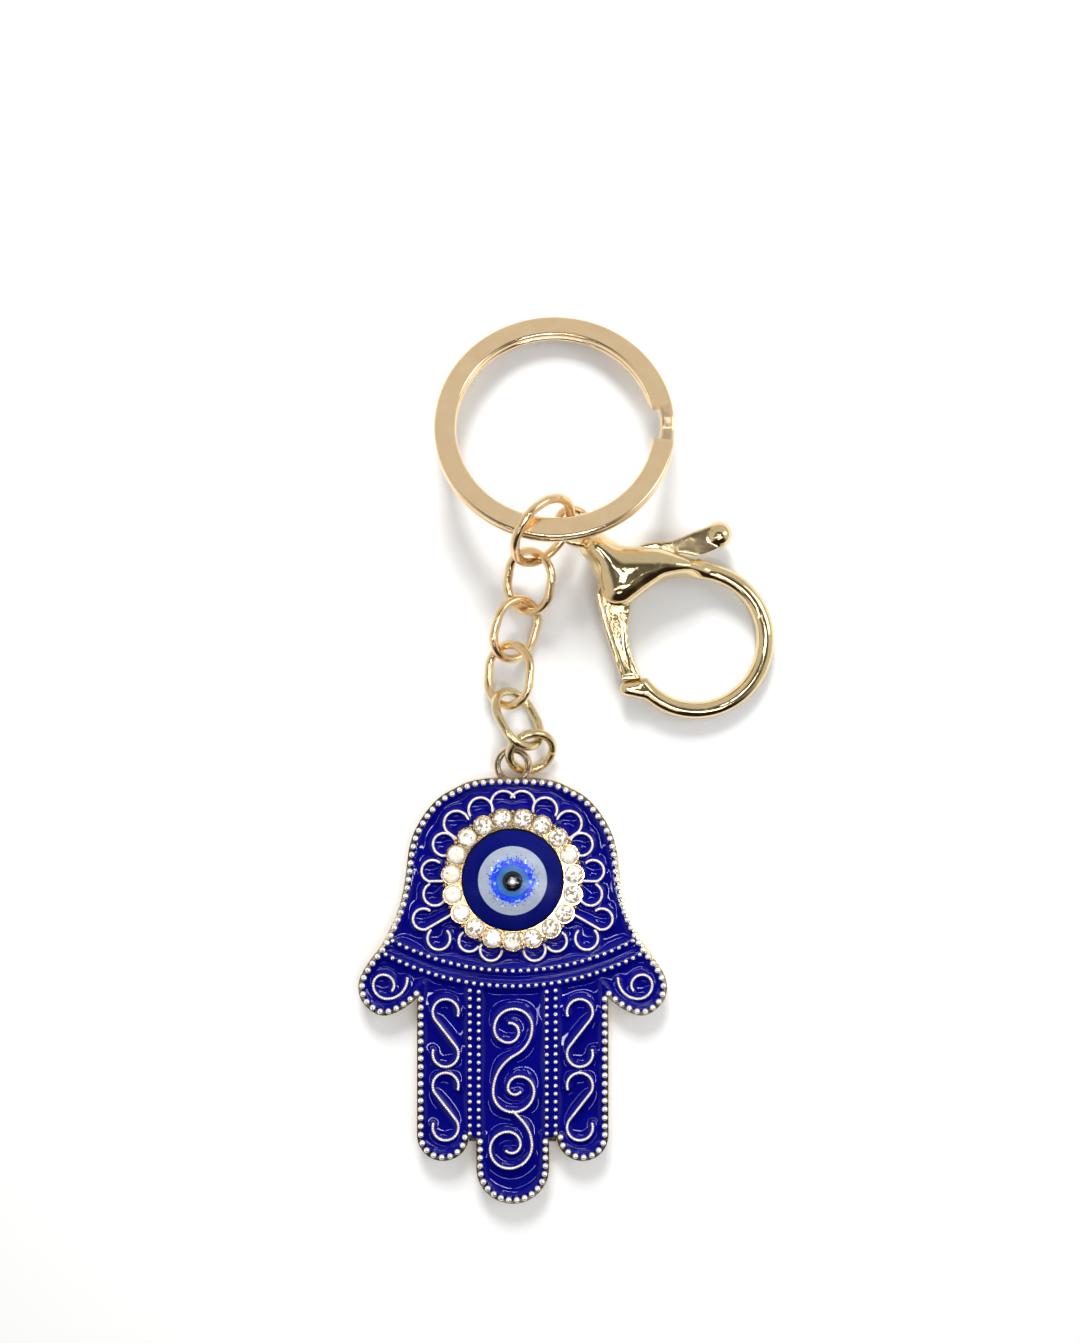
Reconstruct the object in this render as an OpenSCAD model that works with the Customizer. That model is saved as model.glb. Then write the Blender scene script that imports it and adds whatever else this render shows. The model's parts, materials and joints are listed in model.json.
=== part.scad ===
// Hamsa key charm: an enamelled hand pendant with a glass eye, a short chain,
// a flat split ring and a trigger clasp, lying as it would on a table.
// Millimetres. The origin is on the pendant's back, under the middle of the eye.
// +Y runs towards the split ring and +Z out of the pendant's face.

/* [Hand] */
// Half the width of the hand across its two thumbs
palm_half_width = 19.2; // [12:0.1:40]
// Height of the domed top above the middle of the eye
dome_height = 12.63; // [8:0.01:30]
// How far the thumbs reach below the middle of the eye
thumb_drop = 17; // [10:0.1:40]
// Distance from the centre line to the side of an outer finger
finger_side = 11.9; // [8:0.1:24]
// Radius of an outer finger's tip
outer_tip_radius = 3.23; // [2:0.01:8]
// How far the outer fingers reach below the middle of the eye
outer_finger_drop = 35.07; // [22:0.01:80]
// Radius of the middle finger's tip
middle_tip_radius = 4.53; // [2:0.01:10]
// How far the middle finger reaches below the middle of the eye
middle_finger_drop = 40.4; // [25:0.1:90]
// How far down the web between two fingers comes
web_drop = 32.6; // [20:0.1:72]
// Thickness of the cast hand at its rim
hand_thickness = 2.4; // [1.5:0.1:6]
// Thickness of metal left under the enamel
floor_thickness = 1.5; // [0.6:0.1:4]
// How far the enamel lies below the metal rim
enamel_drop = 0.15; // [0.05:0.01:0.6]
// Gap between the enamel and the walls round it
enamel_clearance = 0.02; // [0:0.01:0.1]
// Width of the rim that carries the border beads
rim_width = 0.9; // [0.6:0.05:3]
// Distance from the edge of the hand to the middle of the border beads
border_bead_inset = 0.48; // [0.3:0.01:1.5]
// Radius of a border bead
border_bead_radius = 0.38; // [0.2:0.01:1]
// Distance between border beads
border_bead_pitch = 1.04; // [0.6:0.01:3]
// Radius of a bead on the inner walls
wall_bead_radius = 0.27; // [0.15:0.01:0.8]
// Distance between beads on the inner walls
wall_bead_pitch = 0.97; // [0.5:0.01:3]
// Width of an inner wall between two fields of enamel
wall_width = 0.62; // [0.3:0.01:1.5]
// Width of the line ornament
ornament_width = 0.32; // [0.2:0.01:0.8]

/* [Wrist band and finger walls] */
// Radius of the upper curved wall
band_radius = 31.8; // [18:0.1:70]
// Distance from the middle of the eye down to the lowest point of that wall
band_drop = 11.4; // [6:0.1:30]
// Distance between the two curved walls
band_gap = 1.9; // [1:0.05:5]
// Distance from the centre line to the inner finger wall
inner_wall_offset = 4.23; // [2:0.01:10]
// Distance from the centre line to the outer finger wall
outer_wall_offset = 5.33; // [2.5:0.01:12]

/* [Line ornament] */
// Distance from the middle of the eye to the top of a petal
petal_reach = 11; // [7:0.1:24]
// Radius of a petal's arch
petal_radius = 1.45; // [0.8:0.05:4]
// Radius of the hooks of a finger scroll
scroll_radius = 1.6; // [0.8:0.05:4]
// Height of one finger scroll
scroll_height = 8.4; // [5:0.1:18]
// Distance from the centre line to the middle of a finger scroll
scroll_offset = 8.35; // [5:0.05:18]
// Distance from the middle of the eye down to the top of the first finger scroll
scroll_top_drop = 14.95; // [9:0.05:30]
// Distance between the tops of two finger scrolls
scroll_pitch = 9.15; // [6:0.05:20]
// Radius of the large turns of the spirals on the middle finger
middle_spiral_radius = 2.6; // [1.2:0.05:6]
// Distance from the middle of the eye down to the start of the upper spirals
middle_spiral_drop = 17.9; // [10:0.1:36]
// Distance from the middle of the eye down to the start of the lower spiral
lower_spiral_drop = 28.9; // [16:0.1:60]
// Largest turn radius of the spiral on a thumb
thumb_spiral_radius = 2.5; // [1:0.05:5]
// Distance from the centre line to the start of a thumb spiral
thumb_spiral_offset = 13.1; // [8:0.1:26]
// Distance from the middle of the eye down to the start of a thumb spiral
thumb_spiral_drop = 12.4; // [8:0.1:28]

/* [Eye and crystals] */
// Radius of the glass eye
eye_radius = 6.35; // [4:0.05:14]
// Height of the eye's edge above the hand
eye_edge_height = 0.8; // [0.3:0.05:3]
// How much the middle of the eye stands above its edge
eye_dome_height = 1.1; // [0.4:0.05:4]
// Radius of the white ring
white_radius = 4.26; // [2.5:0.01:10]
// Radius of the bright blue ring
blue_radius = 2.65; // [1.5:0.05:7]
// Radius of the light blue ring
light_blue_radius = 2; // [1:0.05:5]
// Radius of the black pupil
pupil_radius = 1.25; // [0.5:0.05:4]
// Thickness of each ring of glass at its outer edge
ring_thickness = 0.45; // [0.2:0.05:1.5]
// Number of crystals round the eye
crystal_count = 19; // [8:1:32]
// Radius of one crystal
crystal_radius = 1.1; // [0.6:0.05:3]
// Radius of the circle that the crystals stand on
crystal_circle_radius = 7.6; // [5:0.05:17]
// Height of a crystal above its setting
crystal_crown_height = 0.45; // [0.2:0.05:1.5]
// Radius of the flat on top of a crystal
crystal_table_radius = 0.62; // [0.3:0.02:2]
// Width of metal round each crystal
setting_width = 0.22; // [0.1:0.01:0.6]
// Height of the settings above the hand
setting_height = 0.5; // [0.2:0.05:2]
// Depth of the seat that a crystal is glued in
seat_depth = 0.8; // [0.4:0.05:2]
// Radius of a prong bead between two crystals
prong_radius = 0.27; // [0.15:0.01:0.7]

/* [Hanging loop and chain] */
// Radius of the hand's hanging loop, to the middle of its wire
loop_radius = 1.95; // [1.2:0.05:5]
// Radius of the hanging loop's wire
loop_wire_radius = 0.45; // [0.3:0.01:1.2]
// Distance from the middle of the eye to the middle of the hanging loop
loop_offset = 14.1; // [9:0.05:30]
// Height of the hanging loop above the table
loop_height = 1.95; // [1:0.05:6]
// Length of a chain link outside
link_length = 8.7; // [5:0.1:20]
// Width of a chain link outside
link_width = 7.1; // [4:0.1:18]
// Radius of the chain links' wire
link_wire_radius = 0.55; // [0.3:0.01:1.4]
// Radius of the small ring at the hand, to the middle of its wire
small_ring_radius = 2.8; // [1.8:0.05:8]
// Radius of the small ring's wire
small_ring_wire_radius = 0.55; // [0.3:0.01:1.4]
// Opening left between the ends of the small ring's wire
small_ring_gap = 0.35; // [0:0.05:1]
// Radius of the large ring at the split ring, to the middle of its wire
large_ring_radius = 4.5; // [3:0.05:12]
// Radius of the large ring's wire
large_ring_wire_radius = 0.575; // [0.3:0.005:1.5]
// Width of the fine cut in the large ring
large_ring_gap = 0.1; // [0:0.01:1]

/* [Split ring] */
// Outside radius of the split ring
split_ring_radius = 14.78; // [8:0.01:40]
// Width of its flat wire
split_wire_width = 2.7; // [1.2:0.1:6]
// Thickness of its flat wire
split_wire_thickness = 0.92; // [0.5:0.01:2.5]
// Gap between its two turns
split_gap = 0.06; // [0.02:0.01:0.5]

/* [Clasp] */
// Radius of the clasp's hook, to the middle of its wire
hook_radius = 8.7; // [5:0.1:20]
// Radius of the hook's wire
hook_wire_radius = 1.07; // [0.6:0.01:3]
// Radius of the clasp's domed shoulder
shoulder_radius = 2.8; // [1.6:0.05:6]
// Distance from the middle of the hook back to the shoulder
shoulder_back = 12; // [7:0.1:28]
// Distance from the middle of the hook back to the body's nose at the swivel
apex_back = 17.35; // [10:0.05:40]
// Radius of the body at the swivel
apex_radius = 1.4; // [1:0.05:4]
// Distance from the middle of the hook back to the middle of the swivel's eye
swivel_back = 20.8; // [12:0.1:46]
// Radius of the swivel's eye, to the middle of its wire
swivel_radius = 2.35; // [1.4:0.05:6]
// Radius of the swivel eye's wire
swivel_wire_radius = 0.5; // [0.3:0.01:1.4]
// Radius of the swivel's shank
shank_radius = 0.55; // [0.3:0.01:1.4]
// Radius of the head that keeps the shank in the body
shank_head_radius = 0.85; // [0.5:0.01:2]
// Distance from the middle of the hook back to the lever's pin
pin_back = 12.9; // [7:0.1:28]
// Radius of the lever's pin
pin_radius = 0.75; // [0.4:0.01:2]
// Running clearance round the pin and the shank
running_clearance = 0.05; // [0.01:0.01:0.1]
// Thickness of the lever
lever_thickness = 1.9; // [1:0.05:5]
// Clearance between the lever and the cheeks of the body
lever_clearance = 0.08; // [0.02:0.01:0.4]
// Free room round the lever's hub
hub_room = 0.55; // [0.1:0.05:1.5]
// Radius of the lever round its pin
hub_radius = 1.9; // [1.2:0.05:5]
// Distance from the pin to the tip of the gate
gate_reach = 13.6; // [8:0.05:30]
// Distance from the pin to the ball on the thumb piece
thumb_reach = 12.6; // [7:0.05:28]
// Gap between the gate's tip and the hook's nose
gate_gap = 0.12; // [0.02:0.01:0.6]
// Radius of the ball on the thumb piece
thumb_ball_radius = 1.5; // [0.8:0.05:4]
// Furthest turn of the lever, in degrees
lever_turn_angle = 25; // [10:1:30]
// Radius of the lever spring's wire
spring_wire_radius = 0.1; // [0.06:0.01:0.4]
// Turns in the lever's spring
spring_turns = 2.5; // [1.5:0.5:5]

/* [How the pieces lie] */
// Place of the small ring at the hand
small_ring_at = [2.281, 15.8, 2.25]; // [-60:0.001:80]
// Turn, pitch and lean of the small ring, in degrees
small_ring_angles = [-11.25, 31.3, 21.65]; // [-180:0.01:180]
// Place of the fourth link, the one nearest the hand
link_4_at = [0.664, 19.951, 2.994]; // [-60:0.001:80]
// Turn, pitch and lean of the fourth link, in degrees
link_4_angles = [30.22, -7.06, 50.7]; // [-180:0.01:180]
// Place of the third link
link_3_at = [-0.465, 25.333, 2.983]; // [-60:0.001:80]
// Turn, pitch and lean of the third link, in degrees
link_3_angles = [-3.79, -1.58, -31.33]; // [-180:0.01:180]
// Place of the second link
link_2_at = [0.369, 31.076, 2.399]; // [-60:0.001:80]
// Turn, pitch and lean of the second link, in degrees
link_2_angles = [-16.34, 2.61, 36.91]; // [-180:0.01:180]
// Place of the first link, the one nearest the split ring
link_1_at = [2.068, 36.919, 3.434]; // [-60:0.001:80]
// Turn, pitch and lean of the first link, in degrees
link_1_angles = [-8.52, 18.09, -28.04]; // [-180:0.01:180]
// Place of the large ring
large_ring_at = [3.761, 42.864, 6.732]; // [-60:0.001:80]
// Turn, pitch and lean of the large ring, in degrees
large_ring_angles = [3.64, 49.54, 38.36]; // [-180:0.01:180]
// Place of the middle of the split ring
split_ring_at = [5.17, 55.762, 4.736]; // [-60:0.001:80]
// Turn, pitch and lean of the split ring, in degrees
split_ring_angles = [0, -15.4, 0]; // [-180:0.01:180]
// Place of the middle of the clasp's hook
clasp_at = [22.893, 29.619, 1.91]; // [-60:0.001:80]
// Turn of the clasp on the table, in degrees
clasp_turn_angle = -42.85; // [-180:0.01:180]
// Slope of the clasp down towards its hook, in degrees
clasp_slope_angle = 5.36; // [-20:0.01:20]
// Turn of the swivel's eye about the clasp's length, in degrees
swivel_turn_angle = -33.3; // [-180:0.1:180]

/* [Part shown] */
// Sub-part to build

/* [Hidden] */
$fn = 64;

gold = [0.84, 0.70, 0.50];
enamel_blue = [0.02, 0.02, 0.52];
cut_overrun = 0.5;
hair = 0.01;

// Points of the palm's right side from the top down: each pair is a share of the palm's
// half width and of the dome's height, or of the thumbs' drop where it is negative
palm_shares = [[0, 1], [0.167, 0.99], [0.286, 0.956], [0.388, 0.882], [0.466, 0.813],
               [0.542, 0.7], [0.602, 0.568], [0.65, 0.42], [0.676, 0.261], [0.693, 0.046],
               [0.721, -0.141], [0.766, -0.288], [0.844, -0.47], [0.927, -0.599],
               [0.984, -0.705], [1, -0.799], [0.977, -0.893], [0.911, -0.969],
               [0.823, -1], [0.703, -0.945], [0.612, -0.863], [0.547, -0.787]];
// Each petal of one side: its angle from the top, shares of the petals' reach and radius,
// the angles of its two ends from its tip, and whether a straight stalk runs in from it
petals = [[7, 1, 1.07, 66, -78, false], [24.9, 1, 1.03, 124, -92, false],
          [45.4, 1.035, 1.07, 113, -87, true], [63.2, 0.995, 0.97, 127, -141, false],
          [84.3, 1.035, 0.93, 122, -79, true], [101.1, 1.025, 0.97, 70, -144, false],
          [114.2, 1.225, 0.9, 148, -79, true], [128.8, 1.2, 0.97, 81, -180, false],
          [145, 0.975, 0.9, 106, -90, false], [162.9, 0.96, 0.93, 99, -99, false]];
// Spirals as turns along the line: a share of the largest radius and a turn in degrees
middle_turn_shares = [[0.44, -90], [0.5, -90], [0.67, -90], [0.94, -90], [0.87, -90],
                      [1.5, -62], [2.02, 62], [0.96, 90], [1, 90], [0.71, 90], [0.54, 90],
                      [0.33, 90], [0.35, 45]];
lower_turn_shares = [[3.85, -12], [1.7, -38], [1.1, -90], [0.9, -90], [0.85, -90], [0.6, -90],
                     [0.42, -90], [0.38, -40]];
thumb_turn_shares = [[1, 90], [0.7, 90], [0.5, 90], [0.54, 90], [0.36, 40]];
middle_start_share = -0.15;
lower_start_angle = -40;
scroll_hook_angle = 195;
turn_step_angle = 15;
tip_step_angle = 7.5;
band_step_angle = 2.5;
// Where the two curved walls' beads end, as shares of the palm's half width
upper_band_share = 0.8;
lower_band_share = 0.845;
// How far a prong stands outside the crystals' circle, as a share of a crystal's radius,
// and how far round it is between two crystals, as a share of their pitch
prong_share = 0.75;
prong_turn_share = 0.5;
// Length of the lever's pin as a share of the shoulder's thickness
pin_share = 0.87;
// The body's bore for the shank, the head in it and the collars, as shares of its nose's radius
neck_length_share = 0.6;
head_length_share = 0.5;
collar_share = 0.8;
// Length of each straight leg of the spring in radii of its wire
spring_leg_share = 4;

// Where the split ring's wire steps from its lower turn to its upper one, in degrees, with
// how far it has risen and how wide it is there as shares
step_from_angle = -6.5;
step_to_angle = 10.5;
step_lap_angle = 0.6;
wire_end_angle = 4;
step_rise_shares = [0, 0.2, 0.8, 1];
step_width_shares = [0.72, 0.66, 0.66, 0.72];
step_thickness_share = 0.92;

// The clasp's body as spheres: places as shares of the shoulder's distance from the
// middle of the hook, and a share of the shoulder's radius
shoulder_shares = [-0.975, -0.158, 1];
crown_shares = [-0.867, 0.3, 0.85];
neck_shares = [-0.633, 0.492, 0.58];
arm_share = 0.42;
nose_shares = [-0.21, -0.775, 0.32];
arm_angle = 126.5;
nose_angle = -101;
// The lever's two arms: places from its pin as shares of the gate's and thumb's reach
finger_shares = [[-0.13, -0.04], [-0.015, -0.331], [0.232, -0.489], [0.426, -0.596],
                 [0.613, -0.691], [0.75, -0.79], [0.85, -0.62], [0.651, -0.537],
                 [0.522, -0.463], [0.375, -0.331], [0.287, -0.199], [0.11, 0.06]];
thumb_shares = [[-0.12, 0.08], [0, 0.365], [0.159, 0.532], [0.214, 0.639], [0.278, 0.786],
                [0.349, 0.92], [0.548, 0.825], [0.516, 0.738], [0.449, 0.611],
                [0.304, 0.516], [0.127, 0.198], [0.08, 0.06]];
thumb_ball_shares = [0.46, 0.889];
slot_spare_angle = 3;
slot_reach_share = 0.71;

lever_slot = lever_thickness + 2 * lever_clearance;
shank_bore_radius = shank_radius + running_clearance;
head_room_radius = shank_head_radius + running_clearance;
neck_length = neck_length_share * apex_radius;
head_length = head_length_share * apex_radius;
collar_radius = collar_share * apex_radius;
collar_count = 3;
pin_length = 2 * shoulder_radius * pin_share;
spring_middle_radius = (pin_radius + hub_radius) / 2 - spring_wire_radius;
spring_room_radius = spring_middle_radius + 2 * spring_wire_radius + running_clearance;
spring_room_depth = lever_thickness / 2;
spring_leg = spring_leg_share * spring_wire_radius;
spring_step_count = 16;
spring_side_count = 8;
edge_step_count = 40;
finger_points = [for (s = finger_shares) s * gate_reach];
thumb_points = [for (s = thumb_shares) s * thumb_reach];

rim_top = hand_thickness;
enamel_top = hand_thickness - enamel_drop;
band_middle = band_radius - band_drop;
collar_outer = crystal_circle_radius + setting_width;
setting_radius = crystal_radius + setting_width;
collar_inner = eye_radius + running_clearance;
seat_clearance = running_clearance / 2;
setting_top = rim_top + setting_height;
eye_sphere_radius = (pow(eye_radius, 2) + pow(eye_dome_height, 2)) / (2 * eye_dome_height);
eye_top = rim_top + eye_edge_height + eye_dome_height;
eye_ring_radii = [eye_radius, white_radius, blue_radius, light_blue_radius, pupil_radius, 0];
eye_colours = [[0.02, 0.03, 0.25], [0.85, 0.87, 0.92], [0.1, 0.2, 0.8], [0.35, 0.6, 0.85],
               [0.05, 0.05, 0.05]];

function palm_point(s) = [s[0] * palm_half_width, s[1] * (s[1] > 0 ? dome_height : thumb_drop)];

// A smooth curve through points, with a few points between each two
function curve_point(a, b, c, d, t) =
    (2 * b + (c - a) * t + (2 * a - 5 * b + 4 * c - d) * t * t
     + (3 * b - a - 3 * c + d) * t * t * t) / 2;
function smooth(p, steps) =
    let (last = len(p) - 1)
    concat([for (i = [0:last - 1], k = [0:steps - 1])
                curve_point(p[max(i - 1, 0)], p[i], p[i + 1], p[min(i + 2, last)], k / steps)],
           [p[last]]);

// Points moved sideways from a line, to its right going along it
function unit(v) = v / max(norm(v), hair * hair);
function sideways(p, d) =
    let (last = len(p) - 1)
    [for (i = [0:last])
        let (t = unit(p[min(i + 1, last)] - p[max(i - 1, 0)])) p[i] + d * [t[1], -t[0]]];

palm_curve = smooth([for (s = palm_shares) palm_point(s)], 3);

// An arc's points
function arc(middle, radius, from, to, step = turn_step_angle) =
    let (steps = max(2, ceil(abs(to - from) / step)))
    [for (i = [0:steps])
        middle + radius * [cos(from + (to - from) * i / steps), sin(from + (to - from) * i / steps)]];
function fine_arc(middle, radius, from, to) = arc(middle, radius, from, to, tip_step_angle);

// A line that turns, as arcs: each starts where the last one ended, in its direction
function turned(at, heading, radius, turn) =
    let (middle = at + sign(turn) * radius * [-sin(heading), cos(heading)],
         from = heading - sign(turn) * 90)
    [middle, radius, from, from + turn];
function arc_end(part) = part[0] + part[1] * [cos(part[3]), sin(part[3])];
function turning_arcs(at, heading, turns, size, i = 0) =
    i == len(turns) ? [] :
    let (part = turned(at, heading, turns[i][0] * size, turns[i][1]))
    concat([part], turning_arcs(arc_end(part), heading + turns[i][1], turns, size, i + 1));

// Beads at an even pitch along a path, half a pitch in from its ends
function length_to(p, i) = i == 0 ? 0 : length_to(p, i - 1) + norm(p[i] - p[i - 1]);
function lengths_along(p) = [for (i = [0:len(p) - 1]) length_to(p, i)];
function point_along(p, along, d) =
    let (i = max([for (k = [0:len(p) - 2]) along[k] <= d ? k : 0]))
    p[i] + (p[i + 1] - p[i]) * (d - along[i]) / (along[i + 1] - along[i]);
function spaced(p, pitch) =
    let (along = lengths_along(p), total = along[len(p) - 1], count = round(total / pitch))
    [for (k = [0:count - 1]) point_along(p, along, (2 * k + 1) * total / (2 * count))];

module sector(from, to, radius) {
    polygon(concat([[0, 0]], arc([0, 0], radius, from, to)));
}

// A flat line of even width round part of a circle
module arc_2d(middle, radius, from, to) {
    translate(middle) intersection() {
        difference() {
            circle(radius + ornament_width / 2);
            circle(radius - ornament_width / 2);
        }
        sector(min(from, to), max(from, to), 2 * radius);
    }
}

module turning_2d(arcs) {
    for (part = arcs) arc_2d(part[0], part[1], part[2], part[3]);
}

// Puts a piece where it lies: turned on the table, pitched up, then leant over
module lie(at, angles) {
    translate(at) rotate([0, 0, angles[0]]) rotate([angles[1], 0, 0]) rotate([0, angles[2], 0]) children();
}

module both_sides() {
    children();
    mirror([1, 0, 0]) children();
}

// The hand's outline, drawn in by an inset: down the palm and thumb, then round the fingers
function hand_side(inset) =
    let (curve = sideways(palm_curve, inset),
         wall = finger_side - inset,
         palm = [for (p = curve) if (p[0] > wall || p[1] > 0) [max(p[0], 0), p[1]]],
         next = min(len(palm), len(curve) - 1),
         a = curve[next - 1],
         b = curve[next],
         web = inset - web_drop)
    concat(palm, [[wall, a[1] + (b[1] - a[1]) * (wall - a[0]) / (b[0] - a[0])]],
           fine_arc([finger_side - outer_tip_radius, outer_tip_radius - outer_finger_drop],
                    outer_tip_radius - inset, 0, -180),
           [[finger_side - 2 * outer_tip_radius + inset, web], [middle_tip_radius - inset, web]],
           fine_arc([0, middle_tip_radius - middle_finger_drop], middle_tip_radius - inset, 0, -90));

module hand_2d(inset = 0) {
    side = hand_side(inset);
    polygon(concat(side, [for (i = [len(side) - 2:-1:1]) [-side[i][0], side[i][1]]]));
}

module band_disc_2d(radius) {
    translate([0, band_middle]) circle(radius, $fn = 160);
}

module petals_2d() {
    both_sides() for (s = petals) {
        radius = s[2] * petal_radius;
        middle = [0, s[1] * petal_reach - radius];
        end = middle + radius * [cos(90 + s[4]), sin(90 + s[4])];
        rotate(-s[0]) arc_2d(middle, radius, 90 + s[3], 90 + s[4]);
        if (s[5]) rotate(atan2(end[1], end[0]) - s[0]) translate([crystal_circle_radius, -ornament_width / 2])
            square([norm(end) + ornament_width / 2 - crystal_circle_radius, ornament_width]);
    }
}

// Two hooks joined by a straight line that touches both
module finger_scroll_2d(top) {
    upper = [scroll_offset, top - scroll_radius];
    lower = [scroll_offset, top - scroll_height + scroll_radius];
    tilt = asin(min(1, 2 * scroll_radius / (scroll_height - 2 * scroll_radius)));
    side = [cos(tilt), -sin(tilt)];
    near = (scroll_radius - ornament_width / 2) * side;
    far = (scroll_radius + ornament_width / 2) * side;
    arc_2d(upper, scroll_radius, -tilt, scroll_hook_angle);
    arc_2d(lower, scroll_radius, 180 - tilt, 180 + scroll_hook_angle);
    polygon([upper + near, upper + far, lower - near, lower - far]);
}

module side_ornament_2d() {
    finger_scroll_2d(-scroll_top_drop);
    finger_scroll_2d(-scroll_top_drop - scroll_pitch);
    turning_2d(turning_arcs([thumb_spiral_offset, -thumb_spiral_drop], -90, thumb_turn_shares,
                            thumb_spiral_radius));
}

module middle_ornament_2d() {
    turning_2d(turning_arcs([middle_start_share * middle_spiral_radius, -middle_spiral_drop], 0,
                            middle_turn_shares, middle_spiral_radius));
    turning_2d(turning_arcs([0, -lower_spiral_drop], lower_start_angle, lower_turn_shares,
                            middle_spiral_radius));
}

// The pockets for the enamel, drawn in from the walls round them by a gap
module dome_field_2d(gap = 0) {
    difference() {
        intersection() {
            hand_2d(rim_width + gap);
            band_disc_2d(band_radius - wall_width / 2 - gap);
        }
        circle(collar_outer + gap);
        petals_2d();
    }
}

module band_field_2d(gap = 0) {
    difference() {
        intersection() {
            hand_2d(rim_width + gap);
            band_disc_2d(band_radius + band_gap - wall_width / 2 - gap);
        }
        band_disc_2d(band_radius + wall_width / 2 + gap);
    }
}

module below_band_2d(from, to, gap) {
    difference() {
        intersection() {
            hand_2d(rim_width + gap);
            translate([from + gap, -middle_finger_drop]) square([to - from - 2 * gap, middle_finger_drop]);
        }
        band_disc_2d(band_radius + band_gap + wall_width / 2 + gap);
    }
}

module side_field_2d(gap = 0) {
    difference() {
        below_band_2d(outer_wall_offset + wall_width / 2, palm_half_width, gap);
        side_ornament_2d();
    }
}

module middle_field_2d(gap = 0) {
    difference() {
        below_band_2d(wall_width / 2 - inner_wall_offset, inner_wall_offset - wall_width / 2, gap);
        middle_ornament_2d();
    }
}

module strip_field_2d(gap = 0) {
    intersection() {
        below_band_2d(inner_wall_offset + wall_width / 2, outer_wall_offset - wall_width / 2, gap);
        translate([0, -web_drop + rim_width + gap]) square([outer_wall_offset, web_drop]);
    }
}

module enamel_field(top) {
    translate([0, 0, floor_thickness]) linear_extrude(top - floor_thickness) children();
}

module bead_row(p, pitch, radius) {
    for (at = spaced(p, pitch)) translate([at[0], at[1], rim_top]) sphere(radius, $fn = 24);
}

// The hand's cast metal: back, rim, walls, line ornament, settings, hanging loop and beads
module hand_casting() {
    color(gold) {
        difference() {
            union() {
                hand_plate();
                cylinder(r = collar_outer, h = setting_top);
                translate([0, 0, rim_top]) round_crystals()
                    cylinder(r = setting_radius, h = setting_height);
            }
            round_crystals() translate([0, 0, setting_top - seat_depth])
                cylinder(r = crystal_radius + seat_clearance, h = seat_depth + cut_overrun);
            translate([0, 0, rim_top]) cylinder(r = collar_inner, h = setting_height + cut_overrun);
        }
        translate([0, loop_offset, loop_height]) torus(loop_radius, loop_wire_radius);
        round_crystals(prong_turn_share) translate([crystal_radius * prong_share, 0, setting_top])
            sphere(prong_radius, $fn = 24);
        border_beads();
        wall_beads();
    }
}

module hand_plate() {
    top = rim_top + cut_overrun;
    difference() {
        linear_extrude(hand_thickness) hand_2d();
        enamel_field(top) dome_field_2d();
        enamel_field(top) band_field_2d();
        enamel_field(top) middle_field_2d();
        both_sides() {
            enamel_field(top) side_field_2d();
            enamel_field(top) strip_field_2d();
        }
    }
}

module round_crystals(turn = 0) {
    for (i = [0:crystal_count - 1])
        rotate((i + turn) * 360 / crystal_count - 90) translate([crystal_circle_radius, 0]) children();
}

module torus(radius, wire_radius, gap = 0) {
    cut = gap / radius * 180 / PI;
    rotate(cut / 2) rotate_extrude(angle = 360 - cut, start = 0)
        translate([radius, 0]) circle(wire_radius, $fn = 32);
}

// The right half of the line that the border beads follow, in its three stretches
module border_beads() {
    in = border_bead_inset;
    outer_middle = [finger_side - outer_tip_radius, outer_tip_radius - outer_finger_drop];
    palm_line = [for (p = sideways(palm_curve, in)) if (p[0] > finger_side - in || p[1] > 0) p];
    thumb_end = palm_line[len(palm_line) - 1];
    outer_line = concat([[finger_side - in, thumb_end[1] - border_bead_pitch / 2]],
                        arc(outer_middle, outer_tip_radius - in, 0, -180),
                        [[outer_middle[0] - outer_tip_radius + in, in - web_drop]]);
    middle_line = concat([[middle_tip_radius - in, in - web_drop]],
                         arc([0, middle_tip_radius - middle_finger_drop], middle_tip_radius - in, 0, -90));
    both_sides() {
        bead_row(palm_line, border_bead_pitch, border_bead_radius);
        bead_row(outer_line, border_bead_pitch, border_bead_radius);
        bead_row(middle_line, border_bead_pitch, border_bead_radius);
    }
}

module wall_beads() {
    for (radius = [band_radius, band_radius + band_gap]) {
        end_share = radius == band_radius ? upper_band_share : lower_band_share;
        reach = asin(end_share * palm_half_width / radius);
        bead_row(arc([0, band_middle], radius, -90 - reach, reach - 90, band_step_angle),
                 wall_bead_pitch, wall_bead_radius);
    }
    both_sides() for (x = [inner_wall_offset, outer_wall_offset])
        bead_row([[x, band_middle - sqrt(pow(band_radius + band_gap, 2) - x * x) - wall_bead_pitch / 2],
                  [x, wall_bead_pitch / 2 - web_drop]], wall_bead_pitch, wall_bead_radius);
}

module enamel() {
    color(enamel_blue) enamel_field(enamel_top) children();
}

// The enamel of the dome leaves room for the crystals' settings
module enamel_dome() {
    enamel() difference() {
        dome_field_2d(enamel_clearance);
        round_crystals() circle(setting_radius);
    }
}

module enamel_band() { enamel() band_field_2d(enamel_clearance); }
module enamel_middle() { enamel() middle_field_2d(enamel_clearance); }
module enamel_right() { enamel() side_field_2d(enamel_clearance); }
module enamel_left() { mirror([1, 0, 0]) enamel_right(); }
module enamel_strips() { both_sides() enamel() strip_field_2d(enamel_clearance); }

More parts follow.
